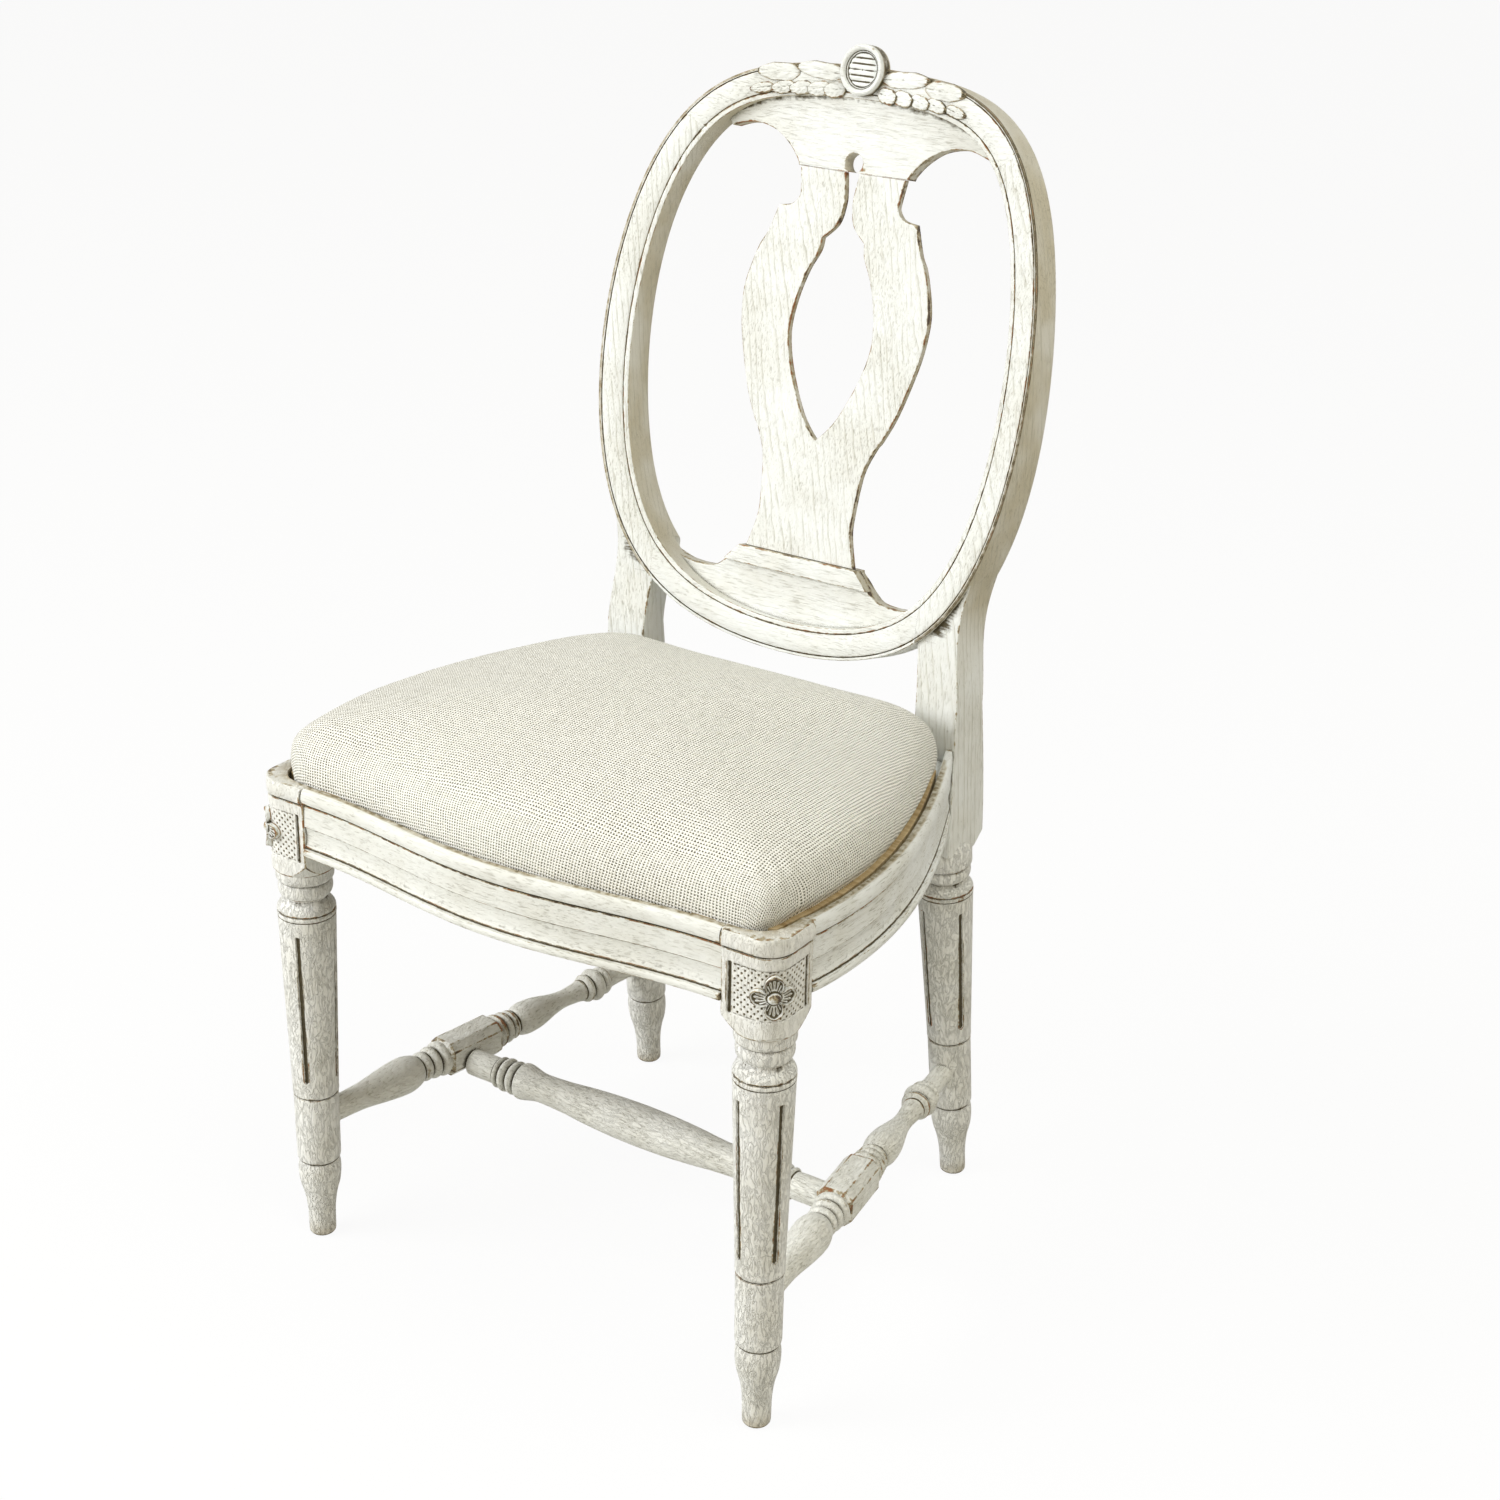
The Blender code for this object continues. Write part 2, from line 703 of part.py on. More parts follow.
def backPoint(x, s, depth):
    """From the back's own face, raked and hollow in plan, to the chair's axes; edges splay a little."""
    hollow = x * x / (2 * back_plan_radius)
    splay = section_turn_share * x / back_plan_radius * depth
    y = ring_centre_y + s * sin(back_rake) - hollow + depth * cos(back_rake)
    return Vector((x + splay, y, ring_centre_height + s * cos(back_rake) - depth * sin(back_rake)))


def ringArc(name, first, last, count, thickness=lambda t: ring_thickness):
    rings = []
    for t in spread(first, last, count):
        ring = []
        for across, depth in ring_section_shares:
            x, s = ringPoint(t, across)
            whole = thickness(t) if depth > band_middle_share else ring_thickness
            ring.append(backPoint(x, s, depth * whole))
        rings.append(ring)
    return loft(name, rings)


def postThickness(t):
    """The side of the oval is as deep as the stile at its foot, and thins towards the middle of the back."""
    share = smoothShare(t, flare_angle, post_thin_angle)
    return post_flare_depth + (ring_thickness - post_flare_depth) * share


def ringTenon(t, grow, length):
    """A square tenon on the middle of the oval's section, across the joint at angle t."""
    x, s = ringPoint(t, band_middle_share)
    ahead = ringPoint(t + angle_step, band_middle_share)
    centre = backPoint(x, s, ring_thickness / 2)
    along = (backPoint(ahead.x, ahead.y, ring_thickness / 2) - centre).normalized()
    behind = Vector((0, cos(back_rake), -sin(back_rake)))
    across = along.cross(behind).normalized()
    behind = across.cross(along)
    rings = []
    for reach in (-length, length):
        ring = []
        for u, v in ((-1, -1), (1, -1), (1, 1), (-1, 1)):
            side = across * u * (back_tenon_width / 2 + grow)
            ring.append(centre + along * reach + side + behind * v * (back_tenon_thickness / 2 + grow))
        rings.append(ring)
    return loft("tenon", rings)


def angleAtX(x, across_share, low, high):
    """Angle between low and high where the line at that share of the width reaches x."""
    for _ in range(40):
        middle = (low + high) / 2
        if ringPoint(middle, across_share).x < x:
            low = middle
        else:
            high = middle
    return (low + high) / 2


lower_joint_angle = angleAtX(lower_joint_x, band_middle_share, radians(-85), radians(-5))
apex_angle = angleAtX(lower_joint_x, 0, radians(-85), radians(-5))
flare_angle = (lower_joint_angle + radians(-2)) / 2


def beside(first, second):
    """A box that fills the side of the joint plane from first to second in X."""
    return box("side", (first, -overrun, stile_bottom), (second, 2 * ring_half_width + ring_centre_y,
                                                         ring_centre_height))


def lowerBackTenon(grow, length):
    x, s = ringPoint(lower_joint_angle, band_middle_share)
    centre = backPoint(lower_joint_x, s, ring_thickness / 2)
    tall = back_tenon_width / 2 + grow
    thick = back_tenon_thickness / 2 + grow
    return box("tenon", (centre.x - back_tenon_width / 2, centre.y - thick, centre.z - tall),
               (centre.x + length, centre.y + thick, centre.z + tall))


def share(value, low, high):
    """How far a value lies from low to high, kept between nothing and one."""
    return min(max((value - low) / (high - low), 0), 1)


def smoothShare(value, low, high):
    part = share(value, low, high)
    return part * part * (3 - 2 * part)


def stileFrontY(x, z):
    """Front of a stile: upright below, and leaning back above to meet the raked face of the oval."""
    meeting = backPoint(x, ringPoint(flare_angle, band_middle_share).y, 0).y
    lean = share(z, stileStraightTop(), stileTop()) ** lean_power
    return stile_front_y + (meeting - stile_front_y) * lean


def stileTop():
    x, s = ringPoint(flare_angle, band_middle_share)
    return backPoint(x, s, 0).z


def apexHeight():
    """Height of the lower joint's foot, where the coves of the stile and of the oval meet."""
    apex = ringPoint(apex_angle, 0)
    return backPoint(apex.x, apex.y, 0).z


def stileStraightTop():
    return apexHeight() - stile_cove_height


def stile():
    """The stile from the turned leg's shoulder to where it is lost in the side of the oval."""
    flare = ringPoint(flare_angle, groove_share)
    straight_top, apex_height, top = stileStraightTop(), apexHeight(), stileTop()
    heel_top = stile_bottom + stile_heel
    rings = []
    levels = [stile_bottom] + spread(heel_top, straight_top, 4)
    levels += spread(straight_top, apex_height, 6)[1:]
    levels += spread(apex_height, top, 8)[1:]
    for z in levels:
        cove = share(z, straight_top, apex_height) ** cove_power
        inner = stile_inner_x + (lower_joint_x + joint_gap - stile_inner_x) * cove
        if z > apex_height:
            inner = max(lower_joint_x + joint_gap, innerBandX(z))
        rise = share(z, straight_top, top)
        outer = stile_outer_x + (flare.x - stile_outer_x) * rise ** flare_power
        outer -= stile_waist * sin(pi * rise) ** 2
        inner = min(inner, outer - stile_chamfer * 3)
        heel = stile_depth - (stile_heel if z == stile_bottom else 0)
        depth = heel + (stile_neck_depth - stile_depth) * share(z, heel_top, straight_top) ** neck_power
        depth += (post_flare_depth - depth) * smoothShare(z, straight_top, top)
        front_inner = stileFrontY(inner, z)
        front_outer = stileFrontY(outer, z)
        c = stile_chamfer
        splay = sin(stile_turn) * depth
        rings.append([
            (inner, front_inner + c, z), (inner + c, front_inner, z), (outer - c, front_outer, z),
            (outer, front_outer + c, z), (outer + splay, front_outer + depth - 2 * c, z),
            (outer + splay - 2 * c, front_outer + depth, z), (inner + splay + 2 * c, front_inner + depth, z),
            (inner + splay, front_inner + depth - 2 * c, z),
        ])
    return loft("stile", rings, split=True)


def innerBandX(z):
    """The middle of the oval's band at a height."""
    low, high = lower_joint_angle, radians(0)
    for _ in range(40):
        middle = (low + high) / 2
        x, s = ringPoint(middle, band_middle_share)
        if backPoint(x, s, 0).z < z:
            low = middle
        else:
            high = middle
    return ringPoint((low + high) / 2, band_middle_share).x


def rearPost():
    """Turned rear leg, stile and the side of the oval, sawn and turned from one plank."""
    foot = Vector((rear_foot_x, rear_foot_y, 0))
    shoulder = Vector((rear_leg_top_x, rear_leg_top_y, stile_bottom))
    up = shoulder - foot
    length = up.length
    profile = legProfile(length, rear_band_height, rear_collar_height)
    profile[0] = (-leg_radius * toe_overrun_share, profile[0][1])
    profile.append((length, leg_radius))
    profile.append((length + stile_heel, leg_radius * heel_root_share))
    post = turned("rear_post_right", profile, foot, shoulder, turning_sides)
    cut(post, box("floor", (0, 0, -overrun), (2 * rear_foot_x, 2 * rear_foot_y, 0)))
    taper_top = length - rear_collar_height
    cut(post, *fluteCutters(foot, shoulder, rear_band_height, taper_top, -pi / 2 - rear_flute_turn))

    arc = ringArc("arc", apex_angle - radians(4), crest_joint_angle, 20, postThickness)
    cut(arc, beside(0, lower_joint_x + joint_gap))
    join(arc, stile())
    join(post, arc)

    low, high = tenonHeights()
    half = tenon_thickness / 2 + joint_gap
    side_x = sideTenonX(stile_front_y)
    cut(post, box("mortise", (side_x - half, stile_front_y - overrun, low - joint_gap),
                  (side_x + half, stile_front_y + rear_tenon_length + joint_gap, high + joint_gap)))
    near, far = rearTenonDepth()
    cut(post, box("mortise", (stile_inner_x - overrun, near - joint_gap, low - joint_gap),
                  (stile_inner_x + rear_tenon_length + joint_gap, far + joint_gap, high + joint_gap)))
    cut(post, lowerBackTenon(joint_gap, back_tenon_length + joint_gap))
    cut(post, ringTenon(crest_joint_angle, joint_gap, back_tenon_length + joint_gap))
    cut(post, stretcherSocket(stretcherEnds()[1], stretcher_rear_end_radius))
    return post


def splatFace(x, s, depth):
    """The flat face of the splat and of both webs, a little behind the oval's face."""
    top_s = splat_upper_shares[0][1] * ring_half_height
    low_s = splat_lower_shares[-1][1] * ring_half_height
    share = (s - low_s) / (top_s - low_s)
    setback = splat_bottom_setback + (splat_top_setback - splat_bottom_setback) * share
    return backPoint(0, s, setback + depth) + Vector((x, 0, 0))


def plate(name, outline, front, rear):
    """A plate in the splat's plane from an outline in x and height along the rake."""
    return loft(name, [[splatFace(x, s, depth) for x, s in outline] for depth in (front, rear)])


def scaled(shares):
    return [Vector((x * ring_half_width, s * ring_half_height)) for x, s in shares]


def splatTenons(grow):
    """Two tenons at the top of the splat and one at its foot."""
    front = (splat_thickness - splat_tenon_thickness) / 2 - grow
    rear = (splat_thickness + splat_tenon_thickness) / 2 + grow
    top = splat_upper_shares[0][1] * ring_half_height
    foot = splat_lower_shares[-1][1] * ring_half_height
    outer = splat_upper_shares[0][0] * ring_half_width - splat_tenon_height + grow
    inner = crest_hole_radius + splat_tenon_height / 2 - grow
    reach = splat_tenon_height + grow
    tenons = []
    for side in (-1, 1):
        outline = [(side * inner, top - overrun), (side * outer, top - overrun),
                   (side * outer, top + reach), (side * inner, top + reach)]
        tenons.append(plate("tenon", outline, front, rear))
    wide = splat_lower_shares[-2][0] * ring_half_width - splat_tenon_height / 2 + grow
    outline = [(-wide, foot - reach), (wide, foot - reach), (wide, foot + overrun), (-wide, foot + overrun)]
    tenons.append(plate("tenon", outline, front, rear))
    return tenons


def backSplat():
    """Pierced splat: waisted outside, with a pear-shaped opening that a slit joins to the top."""
    right = smoothRun(scaled(splat_lower_shares), 2)[::-1]
    right += smoothRun(scaled(splat_upper_shares), 2)[::-1][1:]
    top = splat_upper_shares[0][1] * ring_half_height - joint_gap
    foot = splat_lower_shares[-1][1] * ring_half_height + joint_gap
    right[0].y = foot
    right[-1].y = top
    inside = smoothRun(scaled(slit_shares), 2)
    inside[0].y = top
    inside += smoothRun(scaled(opening_shares), 2)[1:]
    half = right + inside
    outline = half[:-1] + [half[-1]] + [Vector((-point.x, point.y)) for point in reversed(half[:-1])]
    splat = plate("back_splat", outline, 0, splat_thickness)
    join(splat, *splatTenons(0))
    return splat


def crestRail():
    """Top of the oval with the web that takes the splat, a notch for the ornament and a bored eye."""
    crest = ringArc("crest_rail", crest_joint_angle + joint_gap / ring_half_width,
                    pi - crest_joint_angle - joint_gap / ring_half_width, 21)
    edge = smoothRun(scaled(crest_web_shares), 2)
    band = [ringPoint(t, band_middle_share) for t in spread(radians(44), radians(136), 13)]
    outline = edge + band + [Vector((-point.x, point.y)) for point in reversed(edge)]
    web = plate("web", outline, 0, web_thickness)
    join(crest, web)
    for t in (crest_joint_angle, pi - crest_joint_angle):
        join(crest, ringTenon(t, 0, back_tenon_length))
    top = splat_upper_shares[0][1] * ring_half_height
    eye = []
    for depth in (-overrun, overrun):
        ring = []
        for i in range(20):
            angle = 2 * pi * i / 20
            height = top + crest_hole_radius * (crest_hole_rise_share + sin(angle))
            ring.append(splatFace(crest_hole_radius * cos(angle), height, depth))
        eye.append(ring)
    cut(crest, loft("eye", eye))
    tenons = splatTenons(joint_gap)
    bpy.data.objects.remove(tenons.pop())
    cut(crest, *tenons)
    cut(crest, cartoucheBlank("notch", joint_gap, [(-overrun, 1.0), (cartouche_let_in + joint_gap, 1.0)]))
    return crest


def lowerBackRail():
    """Foot of the oval with the shoe that the splat stands in."""
    end = angleAtX(lower_joint_x, 1, radians(-85), radians(-5)) + radians(4)
    rail = ringArc("lower_back_rail", -pi - end, end, 19)
    foot = splat_lower_shares[-1][1] * ring_half_height
    edge = smoothRun(scaled(shoe_shares), 2)
    edge[0].y = foot
    band = [ringPoint(t, band_middle_share) for t in spread(radians(-52), radians(-128), 11)]
    outline = edge + band + [Vector((-point.x, point.y)) for point in reversed(edge)]
    join(rail, plate("web", outline, 0, web_thickness))
    fillet = shoe_fillet_share * ring_half_height
    wide = shoe_shares[0][0] * ring_half_width
    low_wide = shoe_shares[2][0] * ring_half_width
    ledge = [(-wide, foot), (wide, foot), (low_wide, fillet), (-low_wide, fillet)]
    join(rail, plate("shoe", ledge, -shoe_projection, web_thickness / 2))
    cut(rail, beside(lower_joint_x, ring_half_width))
    cut(rail, beside(-ring_half_width, -lower_joint_x))
    right = lowerBackTenon(0, back_tenon_length)
    left = mirrored("tenon", right)
    join(rail, right, left)
    tenons = splatTenons(joint_gap)
    for unused in tenons[:2]:
        bpy.data.objects.remove(unused)
    cut(rail, tenons[2])
    return rail


def cartoucheBlank(name, grow, sections):
    """An upright oval block on the crest, from rows of (depth behind the face, scale)."""
    top = ringCentreLine(pi / 2).y - cartouche_drop
    rings = []
    for depth, scale in sections:
        ring = []
        for i in range(24):
            angle = 2 * pi * i / 24
            x = (cartouche_half_width * scale + grow) * cos(angle)
            s = top + (cartouche_half_height * scale + grow) * sin(angle)
            ring.append(backPoint(0, s, depth) + Vector((x, 0, 0)))
        rings.append(ring)
    return loft(name, rings)


def crestCartouche():
    """Raised oval ornament with a rim round a sunk field, let into the crest."""
    sections = [(cartouche_let_in, 1.0)]
    sections += [(-relief * cartouche_relief, scale) for scale, relief in cartouche_shares]
    return cartoucheBlank("crest_cartouche", 0, sections)


def blockSurface(across):
    """A point and outward normal on the rounded corner of a block, by distance from the diagonal."""
    centre = Vector((block_half - block_corner_radius, -block_half + block_corner_radius))
    quarter = block_corner_radius * pi / 4
    turn = max(min(across, quarter), -quarter) / block_corner_radius
    angle = -pi / 4 + turn
    normal = Vector((cos(angle), sin(angle)))
    beyond = across - turn * block_corner_radius
    along = Vector((-sin(angle), cos(angle)))
    point = centre + normal * block_corner_radius + along * beyond
    return Vector((point.x + front_leg_x, point.y, 0)), Vector((normal.x, normal.y, 0))


def rosette():
    """Four-petalled flower on the rounded corner of the right-hand front block, following its curve."""
    middle = (leg_turned_height + rail_bottom + block_shares[0][1] * rail_height) / 2
    sides = 24
    rings = []

    def petalRing(scale, relief):
        ring = []
        for i in range(sides):
            angle = 2 * pi * i / sides
            reach = rosette_radius * scale
            reach *= 1 - rosette_waist_share * scale * (1 - abs(cos(2 * angle)) ** rosette_petal_power)
            point, normal = blockSurface(reach * cos(angle))
            point.z = middle + reach * sin(angle)
            ring.append(point + normal * (joint_gap + relief))
        return ring

    base = [petalRing(scale, 0) for scale in rosette_base_shares]
    rings.append([sum(base[0], Vector()) / sides])
    rings[0][0] = blockSurface(0)[0] + blockSurface(0)[1] * joint_gap + Vector((0, 0, middle))
    rings += base
    for scale, relief in rosette_ring_shares:
        rings.append(petalRing(scale, relief * rosette_relief))
    return loft("rosette_right", rings)


# Stretchers

def rearAxis(height):
    share = height / stile_bottom
    return Vector((rear_foot_x + (rear_leg_top_x - rear_foot_x) * share,
                   rear_foot_y + (rear_leg_top_y - rear_foot_y) * share, height))


def stretcherEnds():
    """Each end of the right-hand side stretcher: the leg's axis, and the way out of the leg."""
    front = Vector((front_leg_x, 0, stretcher_height))
    rear = rearAxis(stretcher_height)
    along = (rear - front).normalized()
    return (front, along), (rear, -along)


def ankleRadius():
    return foot_shares[-1][1] * leg_radius


def stretcherSocket(end, radius):
    centre, outward = end
    start = centre + outward * (ankleRadius() - stretcher_bite - joint_gap)
    return turned("socket", [(0, radius + joint_gap), (overrun, radius + joint_gap)], start,
                  start + outward, 2 * stretcher_sides)


def sideStretcher():
    """Turned side stretcher with a square block for the cross stretcher."""
    front, rear = stretcherEnds()[0][0], stretcherEnds()[1][0]
    length = (rear - front).length
    bite = ankleRadius() - stretcher_bite
    profile = [(bite, stretcher_front_end_radius)]
    for place, radius in stretcher_front_shares + stretcher_rear_shares:
        profile.append((place * length, radius * stretcher_radius))
    profile.append((length - bite, stretcher_rear_end_radius))
    stretcher = turned("side_stretcher_right", profile, front, rear, stretcher_sides)
    join(stretcher, stretcherBlock(front, rear))
    low, high = crossTenonSpan()
    radius = cross_tenon_radius + joint_gap
    cut(stretcher, turned("socket", [(0, radius), (overrun, radius)],
                          (high + joint_gap, crossY(), crossHeight()),
                          (low - overrun, crossY(), crossHeight()), 2 * stretcher_sides))
    return stretcher


def crossY():
    return stretcherMiddle().y - cross_forward


def stretcherMiddle():
    front, rear = stretcherEnds()[0][0], stretcherEnds()[1][0]
    return front + (rear - front) * stretcher_block_share


def stretcherBlock(front, rear):
    """The block keeps its faces upright and level, with chamfered arrises and turned ends."""
    along = (rear - front).normalized()
    across = Vector((along.y, -along.x, 0)).normalized()
    up = across.cross(along)
    if up.z < 0:
        up = -up
    centre = stretcherMiddle()
    rings = []
    half_length = stretcher_block_length / 2
    for reach, scale in ((-half_length, 0.80), (-half_length + stretcher_block_chamfer, 1.0),
                         (half_length - stretcher_block_chamfer, 1.0), (half_length, 0.80)):
        half = stretcher_block_width / 2
        flat = half - stretcher_block_chamfer
        ring = []
        for u, v in ((flat, -half), (half, -flat), (half, flat), (flat, half),
                     (-flat, half), (-half, flat), (-half, -flat), (-flat, -half)):
            ring.append(centre + along * reach + (across * u + up * v) * scale)
        rings.append(ring)
    return loft("block", rings)


def crossHeight():
    return stretcher_height - cross_drop


def crossTenonSpan():
    """Where the cross stretcher's tenon starts and ends in X, inside the block."""
    along = stretcherEnds()[0][1]
    middle = stretcherMiddle().x - cross_forward * along.x / along.y
    face = middle - stretcher_block_width / 2 / abs(along.y)
    return face, face + cross_tenon_length


def crossStretcher():
    """Turned cross stretcher, scribed to the skewed faces of both blocks."""
    low, high = crossTenonSpan()
    y = crossY()
    half = low
    right = [(place * half, radius * cross_radius) for place, radius in cross_shares]
    right.append((half + overrun, cross_shares[-1][1] * cross_radius))
    profile = [(-x, radius) for x, radius in reversed(right[1:])] + right
    body = turned("cross_stretcher", profile, (0, y, crossHeight()), (1, y, crossHeight()), stretcher_sides)
    along = stretcherEnds()[0][1]
    for side in (-1, 1):
        direction = Vector((side * along.x, along.y, 0)).normalized()
        across = Vector((side * direction.y, -side * direction.x, 0))
        if across.x * side < 0:
            across = -across
        face = Vector((side * stretcherMiddle().x, stretcherMiddle().y, crossHeight()))
        face -= across * (stretcher_block_width / 2 + joint_gap)
        rings = []
        for reach in (0, 2 * overrun):
            ring = []
            for u, v in ((-1, -1), (1, -1), (1, 1), (-1, 1)):
                ring.append(face + across * reach + direction * u * overrun + Vector((0, 0, v * overrun)))
            rings.append(ring)
        cut(body, loft("scribe", rings))
    tenon = [(-high, cross_tenon_radius), (high, cross_tenon_radius)]
    join(body, turned("tenon", tenon, (0, y, crossHeight()), (1, y, crossHeight()), stretcher_sides))
    return body


# Corner blocks

def frontCornerBlock():
    """Glued block in a front corner of the frame, notched round the leg's block."""
    inner_x = block_inner_x - joint_gap
    rear_y = block_half + joint_gap
    reach_y = rear_y + corner_block_reach
    outline = [
        (inner_x - corner_block_reach, front_inner_y + joint_gap), (inner_x, front_inner_y + joint_gap),
        (inner_x, rear_y), (sideInnerX(rear_y) - joint_gap, rear_y),
        (sideInnerX(reach_y) - joint_gap, reach_y),
    ]
    return prism("front_corner_block_right", outline, ledge_height - corner_block_height, ledge_height)


def rearCornerBlock():
    """Glued block between a side rail and the rear rail."""
    rear_y = rear_rail_front_y - joint_gap
    front_y = rear_y - corner_block_reach
    outline = [
        (sideInnerX(front_y) - joint_gap, front_y), (sideInnerX(rear_y) - joint_gap, rear_y),
        (stile_inner_x - corner_block_reach, rear_y),
    ]
    return prism("rear_corner_block_right", outline, ledge_height - corner_block_height, ledge_height)


# Seat

seat_bottom = ledge_height + joint_gap
seat_centre = Vector((0, (frontBeadY(0) + stile_front_y) / 2))


def seatRing(inset, z, scale=1.0):
    points = seatOutline(inset)
    ring = []
    for point in points:
        moved = seat_centre + (point - seat_centre) * scale
        ring.append((moved.x, moved.y, z))
    return ring


def seatLevels(skin):
    """Rings over the seat from its foot to its crown, for a surface at the skin's depth inside."""
    wall_top = rail_top + seat_wall_height
    shoulder_top = wall_top + seat_shoulder * seat_belly_share
    swell = seat_clearance * 2
    rings = [
        seatRing(skin, rail_top),
        seatRing(skin - swell, rail_top + seat_wall_height * seat_belly_share),
        seatRing(skin - swell / 2, wall_top),
        seatRing(skin + seat_shoulder * seat_turn_share,
                 wall_top + seat_shoulder * seat_turn_rise_share - skin / 2),

        seatRing(skin + seat_shoulder, shoulder_top - skin),
    ]
    for scale in seat_ring_shares:
        rise = seat_crown * (1 - scale ** seat_crown_power)
        rings.append(seatRing(skin + seat_shoulder, shoulder_top + rise - skin, scale))
    rings.append([(seat_centre.x, seat_centre.y, shoulder_top + seat_crown - skin)])
    return rings


def seatCover():
    """Linen over the pad, down the sides and turned under the board."""
    skin = cover_thickness
    outer = [seatRing(cover_hem, seat_bottom), seatRing(0, seat_bottom)] + seatLevels(0)
    inner = [seatRing(cover_hem, seat_bottom + skin), seatRing(skin, seat_bottom + skin)] + seatLevels(skin)
    return loft("seat_cover", outer + inner[::-1], cyclic=True)


def seatBoard():
    inset = cover_thickness + joint_gap
    low = seat_bottom + cover_thickness + joint_gap
    return prism("seat_board", seatOutline(inset), low, low + board_thickness)


def seatFoam():
    """The pad, crowned like the cover that it fills."""
    skin = cover_thickness + joint_gap
    base = seat_bottom + cover_thickness + board_thickness + 2 * joint_gap
    return loft("seat_foam", [seatRing(skin, base)] + seatLevels(skin)[1:])


def seatDustCover():
    inset = cover_hem + dust_cover_margin
    return prism("seat_dust_cover", seatOutline(inset), seat_bottom, seat_bottom + dust_cover_thickness)


# Assembly

def buildChair():
    clearScene()
    front = frontLeg()
    post = rearPost()
    side = sideRail()
    stretcher = sideStretcher()
    front_block = frontCornerBlock()
    rear_block = rearCornerBlock()
    flower = rosette()
    painted = [
        front, mirrored("front_leg_left", front), post, mirrored("rear_post_left", post),
        frontRail(), side, mirrored("side_rail_left", side), rearRail(),
        crestRail(), lowerBackRail(), backSplat(), crestCartouche(),
        flower, mirrored("rosette_left", flower),
        stretcher, mirrored("side_stretcher_left", stretcher), crossStretcher(),
    ]
    raw = [
        front_block, mirrored("front_corner_block_left", front_block),
        rear_block, mirrored("rear_corner_block_left", rear_block), seatBoard(),
    ]
    cover = seatCover()
    foam = seatFoam()
    dust = seatDustCover()
    for item in painted:
        item.data.materials.clear()
        item.data.materials.append(makeMaterial(item.name, paint_colour, 0.55))
    for item in raw:
        item.data.materials.clear()
        item.data.materials.append(makeMaterial(item.name, raw_wood_colour, 0.7))
    cover.data.materials.append(makeMaterial(cover.name, linen_colour, 0.9))
    foam.data.materials.append(makeMaterial(foam.name, foam_colour, 0.9))
    dust.data.materials.append(makeMaterial(dust.name, dust_cover_colour, 0.9))
    pieces = painted + raw + [cover, foam, dust]
    for item in pieces:
        item.data.shade_smooth()
        item.data.set_sharp_from_angle(angle=radians(35))
    centreOverOrigin(pieces)


def centreOverOrigin(pieces):
    """Hangs every piece from one empty that puts the chair's middle over the origin."""
    ys = [vertex.co.y for item in pieces for vertex in item.data.vertices]
    middle = bpy.data.objects.new("chair", None)
    bpy.context.scene.collection.objects.link(middle)
    middle.location.y = -(min(ys) + max(ys)) / 2
    for item in pieces:
        item.parent = middle


buildChair()
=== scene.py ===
from functools import partial
from math import cos, pi, radians, sin, sqrt

import bmesh
import bpy
import numpy as np
from mathutils import Matrix, Vector
from mathutils.geometry import delaunay_2d_cdt
from mathutils.kdtree import KDTree


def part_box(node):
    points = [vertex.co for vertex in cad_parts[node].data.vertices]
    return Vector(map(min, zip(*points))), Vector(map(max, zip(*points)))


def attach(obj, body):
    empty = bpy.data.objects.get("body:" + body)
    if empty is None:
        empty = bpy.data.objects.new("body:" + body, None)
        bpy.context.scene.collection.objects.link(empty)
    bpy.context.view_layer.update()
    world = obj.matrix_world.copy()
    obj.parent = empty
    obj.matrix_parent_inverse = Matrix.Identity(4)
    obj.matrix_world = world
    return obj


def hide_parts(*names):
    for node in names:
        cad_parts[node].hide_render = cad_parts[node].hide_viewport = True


# An oval-backed dining chair in worn paint, with a lift-out linen seat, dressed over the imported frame.
# Lengths are metres. Y is measured from the axes of the front legs, and shiftY brings it to the frame.
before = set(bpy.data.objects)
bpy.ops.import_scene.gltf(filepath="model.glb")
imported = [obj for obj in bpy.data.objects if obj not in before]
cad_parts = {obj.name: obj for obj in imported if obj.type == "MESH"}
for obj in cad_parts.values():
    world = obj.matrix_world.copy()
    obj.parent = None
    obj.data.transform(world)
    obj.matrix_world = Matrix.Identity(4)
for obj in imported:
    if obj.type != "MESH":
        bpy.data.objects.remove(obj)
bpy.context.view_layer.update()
halfBlock = 0.0241
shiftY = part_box("front_leg_right")[1].y - halfBlock
gap = 0.0003
print("frame loaded, front legs at y", round(shiftY, 5))


# ---------------------------------------------------------------- nodes
def linear(hexColour):
    # an sRGB hex colour as linear light
    values = [int(hexColour[i:i + 2], 16) / 255 for i in (1, 3, 5)]
    return tuple(v / 12.92 if v <= 0.04045 else ((v + 0.055) / 1.055) ** 2.4 for v in values) + (1.0,)


def addNode(tree, kind, inputs=(), out=None, **settings):
    # one node with its settings, or its output of the name or number given; inputs are in order or by name,
    # and each is a number, a colour or the output that feeds it; Shader is left out of a kind's name
    node = tree.nodes.new(kind if "Node" in kind else "ShaderNode" + kind)
    for key, value in settings.items():
        setattr(node, key, value)
    for key, value in (inputs.items() if isinstance(inputs, dict) else enumerate(inputs)):
        if isinstance(value, bpy.types.NodeSocket):
            tree.links.new(value, node.inputs[key])
        else:
            node.inputs[key].default_value = value
    return node if out is None else node.outputs[out]


def newMaterial(name):
    material = bpy.data.materials.new(name)
    material.use_nodes = True
    return material, material.node_tree, material.node_tree.nodes["Principled BSDF"]


